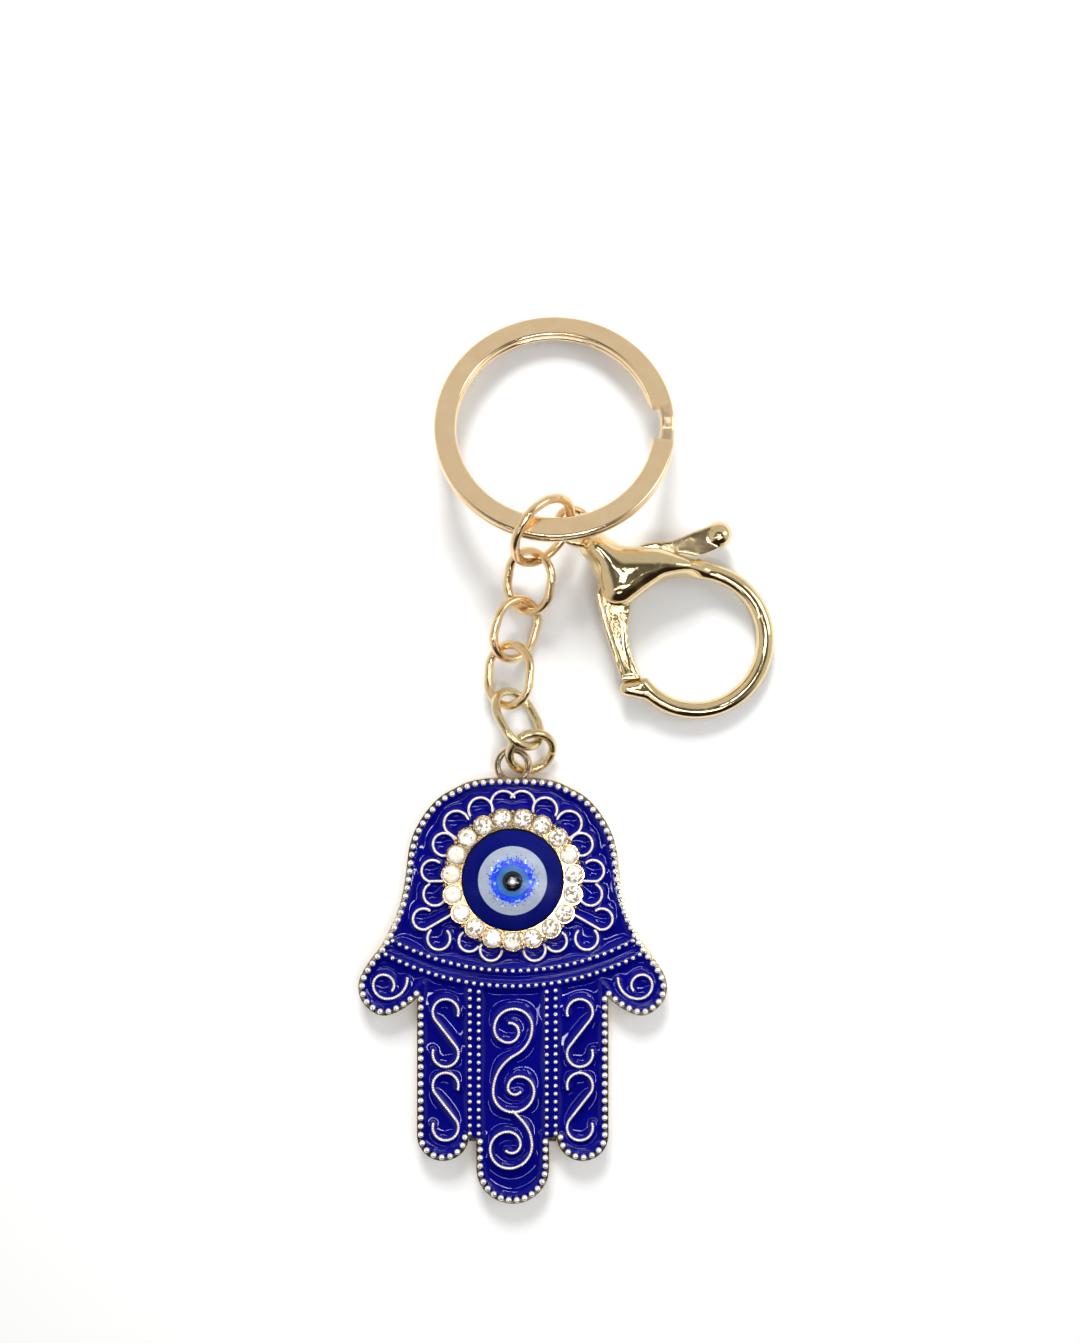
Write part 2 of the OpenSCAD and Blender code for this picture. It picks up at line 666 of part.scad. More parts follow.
// A layer of the eye: a ring of glass under the domed top, in the layer round it
module eye_layer(i) {
    bottom = i == 0 ? rim_top : layer_floor(i);
    color(eye_colours[i]) difference() {
        intersection() {
            translate([0, 0, eye_top - eye_sphere_radius]) sphere(eye_sphere_radius, $fn = 256);
            translate([0, 0, bottom]) cylinder(r = eye_ring_radii[i], h = eye_top, $fn = 128);
        }
        if (i < len(eye_colours) - 1)
            translate([0, 0, layer_floor(i + 1)]) cylinder(r = eye_ring_radii[i + 1], h = eye_top, $fn = 128);
    }
}

function dome_top(radius) = eye_top - eye_sphere_radius + sqrt(pow(eye_sphere_radius, 2) - radius * radius);
function layer_floor(i) = dome_top(eye_ring_radii[i]) - ring_thickness;

module eye_base() { eye_layer(0); }
module eye_white() { eye_layer(1); }
module eye_blue() { eye_layer(2); }
module eye_light_blue() { eye_layer(3); }
module eye_pupil() { eye_layer(4); }

module crystals() {
    color([0.93, 0.93, 0.95]) round_crystals() translate([0, 0, setting_top - seat_depth]) {
        cylinder(r = crystal_radius, h = seat_depth);
        translate([0, 0, seat_depth])
            cylinder(r1 = crystal_radius, r2 = crystal_table_radius, h = crystal_crown_height);
    }
}

module link() {
    radius = link_width / 2 - link_wire_radius;
    half = (link_length - link_width) / 2;
    color(gold) {
        for (end = [0, 180]) rotate(end) translate([0, half])
            rotate_extrude(angle = 180, start = 0) translate([radius, 0]) circle(link_wire_radius, $fn = 32);
        for (side = [-radius, radius]) translate([side, half]) rotate([90, 0, 0])
            cylinder(r = link_wire_radius, h = 2 * half, $fn = 32);
    }
}

module small_ring() {
    color(gold) lie(small_ring_at, small_ring_angles)
        torus(small_ring_radius, small_ring_wire_radius, small_ring_gap);
}

module large_ring() {
    color(gold) lie(large_ring_at, large_ring_angles)
        torus(large_ring_radius, large_ring_wire_radius, large_ring_gap);
}

module chain_link_4() { lie(link_4_at, link_4_angles) link(); }
module chain_link_3() { lie(link_3_at, link_3_angles) link(); }
module chain_link_2() { lie(link_2_at, link_2_angles) link(); }
module chain_link_1() { lie(link_1_at, link_1_angles) link(); }

module flat_wire(from, to, lift, width = split_wire_width, thickness = split_wire_thickness) {
    flat = width - split_wire_thickness;
    rotate(from) rotate_extrude(angle = to - from, start = 0)
        translate([split_ring_radius - split_wire_thickness / 2 - flat / 2, lift]) {
            square([flat, thickness], center = true);
            for (side = [-1, 1]) translate([side * flat / 2, 0]) circle(thickness / 2, $fn = 24);
        }
}

// Two turns of flat wire and the step that joins them, so that a key can be threaded on
module split_ring() {
    lift = (split_wire_thickness + split_gap) / 2;
    steps = len(step_rise_shares) - 1;
    slice = (step_to_angle - step_from_angle) / steps;
    color(gold) lie(split_ring_at, split_ring_angles) {
        flat_wire(step_to_angle, 360 + step_from_angle - wire_end_angle, lift);
        flat_wire(step_to_angle + wire_end_angle, 360 + step_from_angle, -lift);
        for (i = [0:steps - 1]) hull() for (k = [i, i + 1]) {
            at_angle = step_from_angle + k * slice;
            flat_wire(at_angle - step_lap_angle, at_angle + step_lap_angle,
                      lift * (2 * step_rise_shares[k] - 1), split_wire_width * step_width_shares[k],
                      split_wire_thickness * step_thickness_share);
        }
    }
}

// Puts a piece of the clasp where the clasp lies
module on_clasp() {
    translate(clasp_at) rotate([0, 0, clasp_turn_angle]) rotate([0, clasp_slope_angle, 0]) children();
}

// Something round that runs along the clasp's length
module along_clasp(back, length, radius) {
    translate([-back, 0, 0]) rotate([0, 90, 0]) cylinder(r = radius, h = length);
}

module clasp_swivel() {
    collar_pitch = (swivel_back - swivel_radius - swivel_wire_radius - apex_back) / collar_count;
    color(gold) on_clasp() rotate([swivel_turn_angle, 0, 0]) {
        translate([-swivel_back, 0, 0]) torus(swivel_radius, swivel_wire_radius);
        along_clasp(swivel_back - swivel_radius, swivel_back - swivel_radius - apex_back + neck_length
                    + head_length / 2, shank_radius);
        for (i = [0:collar_count - 1])
            along_clasp(apex_back + (i + 1) * collar_pitch - running_clearance / 2,
                        collar_pitch - running_clearance * 2, collar_radius);
        along_clasp(apex_back - neck_length - running_clearance, head_length, shank_head_radius);
    }
}

module body_ball(shares) {
    translate([shares[0] * shoulder_back, shares[1] * shoulder_back, 0])
        sphere(shares[2] * shoulder_radius, $fn = 32);
}

module hook_end_ball(angle) {
    rotate(angle) translate([hook_radius, 0]) sphere(hook_wire_radius, $fn = 32);
}

// The two ends of the angle that an arm of the lever takes up outside its hub's room
function edge_points(p) =
    [for (i = [0:len(p) - 1], k = [0:edge_step_count - 1])
        p[i] + (p[(i + 1) % len(p)] - p[i]) * k / edge_step_count];
function rest_angles(p) =
    let (angles = [for (q = edge_points(p)) if (norm(q) > hub_radius + hub_room) atan2(q[1], q[0])])
    [min(angles), max(angles)];

// The room that the lever swings in, between the body's two cheeks
module lever_slot_2d() {
    circle(hub_radius + hub_room);
    for (p = [finger_points, thumb_points])
        sector(rest_angles(p)[0] - slot_spare_angle,
               rest_angles(p)[1] + lever_turn_angle + slot_spare_angle, slot_reach_share * gate_reach);
}

module clasp_body() {
    color(gold) on_clasp() {
        difference() {
            union() {
                hull() {
                    translate([apex_radius / 2 - apex_back, 0, 0]) sphere(apex_radius, $fn = 32);
                    body_ball(shoulder_shares);
                    body_ball(crown_shares);
                }
                hull() {
                    body_ball(crown_shares);
                    body_ball(neck_shares);
                }
                hull() {
                    body_ball(neck_shares);
                    rotate(arm_angle) translate([hook_radius, 0])
                        sphere(arm_share * shoulder_radius, $fn = 32);
                }
            }
            translate([-apex_back - 2 * apex_radius, -apex_radius * 2, -apex_radius * 2])
                cube([2 * apex_radius, apex_radius * 4, apex_radius * 4]);
            along_clasp(apex_back + cut_overrun, neck_length + cut_overrun * 2, shank_bore_radius);
            along_clasp(apex_back - neck_length, head_length + running_clearance * 2, head_room_radius);
            translate([-pin_back, 0, -lever_slot / 2]) linear_extrude(lever_slot) lever_slot_2d();
            translate([-pin_back, 0, -shoulder_radius * 2]) cylinder(r = pin_radius, h = shoulder_radius * 4);
            translate([-pin_back, 0, 0]) rotate(spring_turns * 360) translate([spring_middle_radius, 0])
                cylinder(r = spring_wire_radius + running_clearance,
                         h = lever_slot / 2 + spring_leg + running_clearance);
        }
        rotate(nose_angle) rotate_extrude(angle = arm_angle - nose_angle, start = 0)
            translate([hook_radius, 0]) circle(hook_wire_radius, $fn = 32);
        difference() {
            hull() {
                hook_end_ball(nose_angle);
                body_ball(nose_shares);
            }
            translate([-pin_back, 0, -shoulder_radius])
                cylinder(r = gate_reach + gate_gap, h = shoulder_radius * 2);
        }
    }
}

module clasp_lever() {
    color(gold) on_clasp() translate([-pin_back, 0, 0]) {
        difference() {
            translate([0, 0, -lever_thickness / 2]) linear_extrude(lever_thickness) {
                circle(hub_radius);
                intersection() {
                    polygon(finger_points);
                    circle(gate_reach, $fn = 128);
                }
                polygon(thumb_points);
            }
            translate([0, 0, -lever_thickness])
                cylinder(r = pin_radius + running_clearance, h = 2 * lever_thickness);
            translate([0, 0, lever_thickness / 2 - spring_room_depth])
                cylinder(r = spring_room_radius, h = lever_thickness);
            translate([spring_middle_radius, 0,
                       lever_thickness / 2 - spring_room_depth - spring_leg - running_clearance])
                cylinder(r = spring_wire_radius + running_clearance, h = lever_thickness);
        }
        translate([thumb_ball_shares[0] * thumb_reach, thumb_ball_shares[1] * thumb_reach, 0])
            sphere(thumb_ball_radius, $fn = 48);
    }
}

module clasp_pin() {
    color(gold) on_clasp() translate([-pin_back, 0, -pin_length / 2])
        cylinder(r = pin_radius, h = pin_length);
}

// The middle line of the lever's spring: a leg in the lever, its turns, a leg in the body
function spring_point(turn, height) =
    [spring_middle_radius * cos(turn), spring_middle_radius * sin(turn), height];
spring_low = lever_thickness / 2 - spring_room_depth + 2 * spring_wire_radius;
spring_high = lever_thickness / 2 - 2 * spring_wire_radius;
spring_steps = spring_turns * spring_step_count;
spring_line = concat(
    [spring_point(0, spring_low - 2 * spring_wire_radius - spring_leg)],
    [for (i = [0:spring_steps])
        spring_point(i * 360 / spring_step_count,
                     spring_low + (spring_high - spring_low) * i / spring_steps)],
    [spring_point(spring_turns * 360, lever_slot / 2 + spring_leg)]);

// One unbroken tube along the spring's line
module clasp_spring() {
    last = len(spring_line) - 1;
    sides = spring_side_count;
    points = [for (i = [0:last])
        let (at = spring_line[i],
             along = unit(spring_line[min(i + 1, last)] - spring_line[max(i - 1, 0)]),
             out = unit([at[0], at[1], 0]),
             across = cross(along, out))
        for (k = [0:sides - 1])
            at + spring_wire_radius * (cos(k * 360 / sides) * out + sin(k * 360 / sides) * across)];
    color([0.7, 0.7, 0.72]) on_clasp() translate([-pin_back, 0, 0])
        polyhedron(points, concat(
            [[for (k = [0:sides - 1]) k]],
            [for (i = [0:last - 1], k = [0:sides - 1])
                [i * sides + k, (i + 1) * sides + k,
                 (i + 1) * sides + (k + 1) % sides, i * sides + (k + 1) % sides]],
            [[for (k = [sides - 1:-1:0]) last * sides + k]]));
}

hand_casting();
enamel_dome();
enamel_band();
enamel_left();
enamel_middle();
enamel_right();
enamel_strips();
eye_base();
eye_white();
eye_blue();
eye_light_blue();
eye_pupil();
crystals();
small_ring();
chain_link_4();
chain_link_3();
chain_link_2();
chain_link_1();
large_ring();
split_ring();
clasp_swivel();
clasp_body();
clasp_lever();
clasp_pin();
clasp_spring();
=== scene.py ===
import json
import math
import time

import bmesh
import bpy
import numpy as np
from mathutils import Matrix, Vector, geometry, kdtree


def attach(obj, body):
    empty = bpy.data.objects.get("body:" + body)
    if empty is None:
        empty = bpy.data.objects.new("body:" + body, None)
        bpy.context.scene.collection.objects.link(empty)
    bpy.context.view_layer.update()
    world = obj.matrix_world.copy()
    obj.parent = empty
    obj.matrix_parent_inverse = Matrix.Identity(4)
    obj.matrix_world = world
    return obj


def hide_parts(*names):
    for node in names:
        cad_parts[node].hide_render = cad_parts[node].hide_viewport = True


startTime = time.time()
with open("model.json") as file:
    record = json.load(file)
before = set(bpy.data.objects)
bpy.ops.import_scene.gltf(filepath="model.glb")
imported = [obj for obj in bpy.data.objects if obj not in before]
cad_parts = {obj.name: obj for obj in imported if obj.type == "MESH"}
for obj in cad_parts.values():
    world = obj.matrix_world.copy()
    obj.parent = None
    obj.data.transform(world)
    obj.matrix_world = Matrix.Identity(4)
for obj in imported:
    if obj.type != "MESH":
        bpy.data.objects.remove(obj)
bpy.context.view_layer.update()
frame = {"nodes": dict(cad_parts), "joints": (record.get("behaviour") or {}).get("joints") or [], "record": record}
nodes = frame["nodes"]
mm = 0.001
# in metres: corners nearer than this are one, and a face is level within this
weld = 1e-7
flatness = 2e-6


def report(stage):
    print(f"hamsa charm: {stage} at {time.time() - startTime:.1f} s")


report("frame loaded")

# camera, floor and light

cameraSetup = {"place": (0.0033875, 0.0258, 0.175), "lens": 46.27, "sensor": 36.0, "near": 0.005, "far": 20}

cameraData = bpy.data.cameras.new("photoCamera")
cameraData.sensor_fit = "HORIZONTAL"
cameraData.sensor_width = cameraSetup["sensor"]
cameraData.lens = cameraSetup["lens"]
cameraData.clip_start = cameraSetup["near"]
cameraData.clip_end = cameraSetup["far"]
camera = bpy.data.objects.new("photoCamera", cameraData)
camera.location = cameraSetup["place"]
bpy.context.scene.collection.objects.link(camera)
bpy.context.scene.camera = camera
bpy.context.scene.view_settings.view_transform = "Standard"


def setInputs(tree, node, inputs):
    # each named socket gets a link, or a value of its own
    for name, value in inputs.items():
        if isinstance(value, bpy.types.NodeSocket):
            tree.links.new(value, node.inputs[name])
        else:
            node.inputs[name].default_value = value


def addNode(tree, kind, inputs=None, **settings):
    node = tree.nodes.new(kind)
    for name, value in settings.items():
        setattr(node, name, value)
    setInputs(tree, node, inputs or {})
    return node


def mathNode(tree, operation, *values, clamp=False):
    return addNode(tree, "ShaderNodeMath", dict(enumerate(values)), operation=operation,
                   use_clamp=clamp).outputs[0]


def rampNode(tree, value, fromLow, fromHigh, toLow=0, toHigh=1, smooth=False):
    # one value carried from one range to another, and held inside it
    return addNode(tree, "ShaderNodeMapRange",
                   {"Value": value, "From Min": fromLow, "From Max": fromHigh,
                    "To Min": toLow, "To Max": toHigh},
                   interpolation_type="SMOOTHSTEP" if smooth else "LINEAR").outputs["Result"]


def mixColours(tree, share, first, second):
    return addNode(tree, "ShaderNodeMix", {0: share, 6: first, 7: second}, data_type="RGBA").outputs[2]


def noiseNode(tree, place, scale, detail, roughness=0.5):
    return addNode(tree, "ShaderNodeTexNoise", {"Vector": place, "Scale": scale, "Detail": detail,
                                                "Roughness": roughness}).outputs[0]


def cellNode(tree, place, scale):
    # uneven cells: the distance from a cell's middle, and three random values for each cell
    cells = addNode(tree, "ShaderNodeTexVoronoi", {"Vector": place, "Scale": scale}).outputs
    return cells["Distance"], addNode(tree, "ShaderNodeSeparateColor", {0: cells["Color"]}).outputs


def combined(tree, x=0.0, y=0.0, z=0.0):
    return addNode(tree, "ShaderNodeCombineXYZ", {0: x, 1: y, 2: z}).outputs[0]


def objectPlace(tree):
    return addNode(tree, "ShaderNodeTexCoord").outputs["Object"]


def heightOf(tree, place):
    return addNode(tree, "ShaderNodeSeparateXYZ", {0: place}).outputs["Z"]


def distanceFromEye(tree, place):
    # how far a point lies from the middle of the eye, seen from above
    parts = addNode(tree, "ShaderNodeSeparateXYZ", {0: place}).outputs
    flatPlace = combined(tree, parts["X"], parts["Y"])
    return addNode(tree, "ShaderNodeVectorMath", {0: flatPlace}, operation="LENGTH").outputs["Value"]


def newObject(name, data):
    obj = bpy.data.objects.new(name, data)
    bpy.context.scene.collection.objects.link(obj)
    return obj


def newMesh(name, vertices, edges, faces, unit=1.0):
    mesh = bpy.data.meshes.new(name)
    mesh.from_pydata([tuple(c * unit for c in v) for v in vertices], edges, faces)
    return mesh


def newMaterial(name):
    material = bpy.data.materials.new(name)
    material.use_nodes = True
    return material, material.node_tree, material.node_tree.nodes["Principled BSDF"]


# the light tent is pale all round; its patches are grey where the camera looks out, which leans towards
# the viewer because the hand lies on that side, and dark below towards the viewer: each has its tone,
# the way to its middle, and the cosines from there at which it begins and is full
tent = {"pale": (1.0, 0.97, 0.92, 1), "strength": 0.68,
        "patches": [((0.17, 0.155, 0.14, 1), (-0.02, -0.24, 0.97), 0.72, 0.88),
                    ((0.035, 0.022, 0.014, 1), (0.16, -0.93, 0.33), 0.60, 0.86)]}


def buildTent():
    world = bpy.data.worlds.new("lightTent")
    bpy.context.scene.world = world
    world.use_nodes = True
    tree = world.node_tree
    way = addNode(tree, "ShaderNodeTexCoord").outputs["Generated"]
    colour = tent["pale"]
    for tone, middle, begins, full in tent["patches"]:
        near = addNode(tree, "ShaderNodeVectorMath", {0: way, 1: middle}, operation="DOT_PRODUCT")
        patch = rampNode(tree, near.outputs["Value"], begins, full, smooth=True)
        colour = mixColours(tree, patch, colour, tone)
    setInputs(tree, tree.nodes["Background"], {"Color": colour, "Strength": tent["strength"]})


# each lamp: place, the point it faces, its two sides in metres, its power in watts, its colour,
# and whether shiny surfaces show it; the narrow ones make a frame of light round the camera
lamps = {
    "keyLamp": ((-0.03, 0.42, 0.27), (0.0, 0.0, 0.0), (0.17, 0.15), 2.75, (1.0, 0.98, 0.95), False),
    "fillLamp": ((0.36, 0.10, 0.30), (0.0, 0.01, 0.0), (0.16, 0.22), 0.3, (0.95, 0.97, 1.0), True),
    "rightStrip": ((0.048, -0.040, 0.176), (0.0, -0.03, 0.0), (0.006, 0.10), 0.075, (1.0, 1.0, 1.0), True),
    "topStrip": ((0.005, 0.016, 0.176), (0.0, -0.01, 0.0), (0.080, 0.003), 0.036, (1.0, 1.0, 1.0), True),
    "leftStrip": ((-0.056, -0.045, 0.176), (0.0, -0.03, 0.0), (0.003, 0.10), 0.020, (1.0, 1.0, 1.0), True),
    "lowStrip": ((0.0, -0.118, 0.176), (0.0, -0.04, 0.0), (0.080, 0.003), 0.016, (1.0, 1.0, 1.0), True),
    "spotLamp": ((0.050, 0.030, 0.176), (0.0, -0.01, 0.0), (0.008, 0.008), 0.012, (1.0, 1.0, 1.0), True),
}


def buildLamps():
    for name, (place, target, sides, power, colour, shown) in lamps.items():
        data = bpy.data.lights.new(name, "AREA")
        data.shape = "RECTANGLE"
        data.size, data.size_y = sides
        data.energy = power
        data.color = colour
        lamp = newObject(name, data)
        lamp.location = place
        lamp.rotation_euler = (Vector(target) - Vector(place)).to_track_quat("-Z", "Y").to_euler()
        lamp.visible_camera = False
        lamp.visible_glossy = shown


# the sheet of paper below: half its side in metres, its white and its sheen
paper = {"half": 2.5, "tone": (0.80, 0.812, 0.828, 1), "roughness": 0.9, "specular": 0.1}


def buildFloor():
    corners = [(-1, -1, 0), (1, -1, 0), (1, 1, 0), (-1, 1, 0)]
    floor = newObject("paperFloor", newMesh("paperFloor", corners, [], [(0, 1, 2, 3)], paper["half"]))
    material, tree, shader = newMaterial("whitePaper")
    setInputs(tree, shader, {"Base Color": paper["tone"], "Roughness": paper["roughness"],
                             "Specular IOR Level": paper["specular"]})
    floor.data.materials.append(material)


buildTent()
buildLamps()
buildFloor()
report("camera, tent and floor built")

# shared effects


def newGroup(name, kind, inputs, outputs):
    # a node group with its sockets, its two end nodes, and the sockets' identifiers by name
    group = bpy.data.node_groups.new(name, kind)
    identifiers = {}
    for socketName, socketKind, value in inputs:
        socket = group.interface.new_socket(socketName, in_out="INPUT", socket_type="NodeSocket" + socketKind)
        if value is not None:
            socket.default_value = value
        identifiers[socketName] = socket.identifier
    for socketName, socketKind in outputs:
        group.interface.new_socket(socketName, in_out="OUTPUT", socket_type="NodeSocket" + socketKind)
    return group, group.nodes.new("NodeGroupInput"), group.nodes.new("NodeGroupOutput"), identifiers


# most of a noise's values lie between these
cloudLevels = (0.3, 0.7)
# between which levels of their noises the colour of the plating drifts and its wear sets in
platingLevels = {"drift": (0.35, 0.7), "wear": (0.42, 0.68)}


def buildPlating():
    # plated metal: a little colour drift, fine wear and the slight waves of a polished casting
    group, given, made, _ = newGroup(
        "platedMetal", "ShaderNodeTree",
        [("Pale", "Color", (0.85, 0.62, 0.36, 1)), ("Deep", "Color", (0.7, 0.45, 0.2, 1)),
         ("Drift Scale", "Float", 320.0), ("Wear Scale", "Float", 2600.0), ("Smooth", "Float", 0.1),
         ("Rough", "Float", 0.25), ("Wave Scale", "Float", 900.0), ("Wave Height", "Float", 0.00001)],
        [("Color", "Color"), ("Roughness", "Float"), ("Normal", "Vector")])
    values = given.outputs
    place = objectPlace(group)
    drift = noiseNode(group, place, values["Drift Scale"], detail=3.0, roughness=0.6)
    wear = noiseNode(group, place, values["Wear Scale"], detail=4.0, roughness=0.7)
    wave = noiseNode(group, place, values["Wave Scale"], detail=2.0)
    share = rampNode(group, drift, *platingLevels["drift"])
    worn = rampNode(group, wear, *platingLevels["wear"])
    spread = mathNode(group, "SUBTRACT", values["Rough"], values["Smooth"])
    bump = addNode(group, "ShaderNodeBump", {"Height": wave, "Distance": values["Wave Height"]})
    setInputs(group, made, {"Color": mixColours(group, share, values["Pale"], values["Deep"]),
                            "Roughness": mathNode(group, "MULTIPLY_ADD", worn, spread, values["Smooth"]),
                            "Normal": bump.outputs["Normal"]})
    return group


# gold of each kind, as the photograph shows it: pale rose on the rings; greener on the clasp, the small ring
# and the fourth chain link by a painted reflection, and near white on the ornament wire by a painted highlight
golds = {
    "ringGold": {"Pale": (0.98, 0.76, 0.48, 1), "Deep": (0.93, 0.69, 0.42, 1), "Smooth": 0.12, "Rough": 0.22},
    "linkGold": {"Pale": (0.92, 0.70, 0.42, 1), "Deep": (0.84, 0.60, 0.32, 1), "Smooth": 0.16, "Rough": 0.27,
                 "Wave Scale": 300.0, "Wave Height": 0.000002},
    # the small ring and the fourth chain link: gold with a painted reflection of a dim greenish surround
    "olivePaintedReflectionGold": {"Pale": (0.78, 0.64, 0.38, 1), "Deep": (0.66, 0.52, 0.28, 1), "Smooth": 0.16,
                  "Rough": 0.30},
    # the clasp: gold, made greener by a painted reflection of a dim greenish surround
    "claspGold": {"Pale": (0.86, 0.68, 0.40, 1), "Deep": (0.74, 0.60, 0.34, 1), "Smooth": 0.07,
                  "Rough": 0.17, "Wave Scale": 260.0, "Wave Height": 0.00005},
    "castGold": {"Pale": (0.88, 0.68, 0.42, 1), "Deep": (0.72, 0.50, 0.26, 1), "Smooth": 0.12, "Rough": 0.26,
                 "Drift Scale": 500.0},
    # the ornament wire: gold paled to near white by a painted highlight
    "ropePaintedHighlightGold": {"Pale": (0.98, 0.93, 0.86, 1), "Deep": (0.90, 0.78, 0.66, 1), "Smooth": 0.22, "Rough": 0.34,
                 "Drift Scale": 900.0},
    "springSteel": {"Pale": (0.72, 0.72, 0.74, 1), "Deep": (0.58, 0.58, 0.60, 1), "Smooth": 0.12,
                    "Rough": 0.24},
}
# less metallic, so that the wire's pale painted highlight shows under any light
ropePaintedHighlightMetallic = 0.55  # the ornament's metal has dulled
goldParts = {"hand_casting": "castGold", "small_ring": "olivePaintedReflectionGold", "chain_link_4": "olivePaintedReflectionGold",
             "chain_link_3": "linkGold", "chain_link_2": "linkGold", "chain_link_1": "linkGold",
             "large_ring": "linkGold", "split_ring": "ringGold", "clasp_swivel": "linkGold",
             "clasp_pin": "claspGold", "clasp_spring": "springSteel"}
# how the hand's casting has aged, and where light and shade are painted on it, in metres: heights of its rough
# back, of the painted shade between the border's beads and of the painted highlight on their tops; the distance
# from the eye past which that is so, and the brown painted shade of the stones' settings nearer in
castAgeAndPaintedLight = {"back": (0.0003, 0.0001), "pitScale": 1800.0, "pitDepth": 0.00008, "backRoughness": 0.2,
           "low": (0.00225, 0.00238), "high": (0.00244, 0.00254), "outside": (0.0089, 0.0092),
           "paintedGapShadeTone": (0.19, 0.16, 0.12, 1), "paintedBeadHighlightTone": (0.95, 0.93, 0.89, 1), "paintedHighlightDulling": -0.25,
           "paintedSettingShadeTone": (0.46, 0.33, 0.17, 1), "paintedSettingShadeShare": 0.7}


def ageCastingAndPaintLight(tree, shader, metal):
    place = objectPlace(tree)
    height = heightOf(tree, place)
    # the back is rougher and shows fine pits, as a cast face does
    back = rampNode(tree, height, *castAgeAndPaintedLight["back"])
    pits = noiseNode(tree, place, castAgeAndPaintedLight["pitScale"], detail=5.0, roughness=0.7)
    pitted = mathNode(tree, "MULTIPLY", pits, back)
    bump = addNode(tree, "ShaderNodeBump", {"Height": pitted, "Distance": castAgeAndPaintedLight["pitDepth"],
                                            "Normal": metal["Normal"]})
    # away from the eye the rim's low places get a painted shade, and the beads' tops a painted highlight
    outside = rampNode(tree, distanceFromEye(tree, place), *castAgeAndPaintedLight["outside"])
    low = mathNode(tree, "MULTIPLY", rampNode(tree, height, *castAgeAndPaintedLight["low"]), outside)
    high = mathNode(tree, "MULTIPLY", rampNode(tree, height, *castAgeAndPaintedLight["high"]), outside)
    # nearer the eye the settings between the stones get a brown painted shade
    share = castAgeAndPaintedLight["paintedSettingShadeShare"]
    colour = mixColours(tree, mathNode(tree, "MULTIPLY_ADD", outside, -share, share), metal["Color"],
                        castAgeAndPaintedLight["paintedSettingShadeTone"])
    # the rim's low places get a painted shade
    colour = mixColours(tree, low, colour, castAgeAndPaintedLight["paintedGapShadeTone"])
    # the beads' tops get a painted highlight, and are less metallic there
    setInputs(tree, shader, {
        "Base Color": mixColours(tree, high, colour, castAgeAndPaintedLight["paintedBeadHighlightTone"]),
        "Metallic": mathNode(tree, "MULTIPLY_ADD", high, castAgeAndPaintedLight["paintedHighlightDulling"], 1.0),
        "Roughness": mathNode(tree, "MULTIPLY_ADD", back, castAgeAndPaintedLight["backRoughness"], metal["Roughness"]),
        "Normal": bump.outputs["Normal"]})


def buildGold(name):
    material, tree, shader = newMaterial(name)
    metal = addNode(tree, "ShaderNodeGroup", golds[name], node_tree=plating).outputs
    setInputs(tree, shader, {"Base Color": metal["Color"], "Roughness": metal["Roughness"],
                             "Normal": metal["Normal"],
                             "Metallic": ropePaintedHighlightMetallic if name == "ropePaintedHighlightGold" else 1.0})
    if name == "castGold":
        ageCastingAndPaintLight(tree, shader, metal)
    return material


def dress(nodeName, material):
    mesh = nodes[nodeName].data
    mesh.materials.clear()
    mesh.materials.append(material)


plating = buildPlating()
goldMaterials = {name: buildGold(name) for name in golds}
for nodeName, goldName in goldParts.items():
    dress(nodeName, goldMaterials[goldName])
report("golds dressed")

# enamel

# heights above the table and lengths in millimetres; it settles over ever finer cells, and the crystals'
# settings stand through it
enamel = {"level": 1.88, "rim": 2.412, "reach": 0.70, "underside": 1.72, "edgeInset": 0.46, "grid": 0.17,
          "settleCells": (0.2, 0.1, 0.05), "settleTurns": 160, "margin": 0.5, "maskCell": 0.05,
          "holeRadius": 7.55, "holePoints": 240, "settings": 19, "settingCircle": 7.6,
          "settingRadius": 1.34, "settingHole": 1.2,
          "nodes": ["enamel_dome", "enamel_band", "enamel_left", "enamel_middle", "enamel_right",
                    "enamel_strips"]}


def topEdges(nodeName, upwards=True):
    # the outline of a node's flat top, or of its flat back, as pairs of points in millimetres
    shape = bmesh.new()
    shape.from_mesh(nodes[nodeName].data)
    bmesh.ops.remove_doubles(shape, verts=shape.verts, dist=weld)
    heights = [v.co.z for v in shape.verts]
    level = max(heights) if upwards else min(heights)
    flat = {f for f in shape.faces if all(abs(v.co.z - level) < flatness for v in f.verts)}
    pairs = [[(v.co.x / mm, v.co.y / mm) for v in e.verts] for e in shape.edges
             if sum(f in flat for f in e.link_faces) == 1]
    shape.free()
    return np.array(pairs)


def spot(point):
    return round(point[0], 4), round(point[1], 4)


def loopsOf(pairs):
    # closed rings of points from loose pairs
    ends = {}
    for i, pair in enumerate(pairs):
        for point in pair:
            ends.setdefault(spot(point), []).append(i)
    used = set()
    loops = []
    for start in range(len(pairs)):
        if start in used:
            continue
        used.add(start)
        ring = [tuple(point) for point in pairs[start]]
        while ahead := [i for i in ends[spot(ring[-1])] if i not in used]:
            used.add(ahead[0])
            a, b = pairs[ahead[0]]
            ring.append(tuple(b) if spot(a) == spot(ring[-1]) else tuple(a))
        loops.append(np.array(ring[:-1]))
    return loops


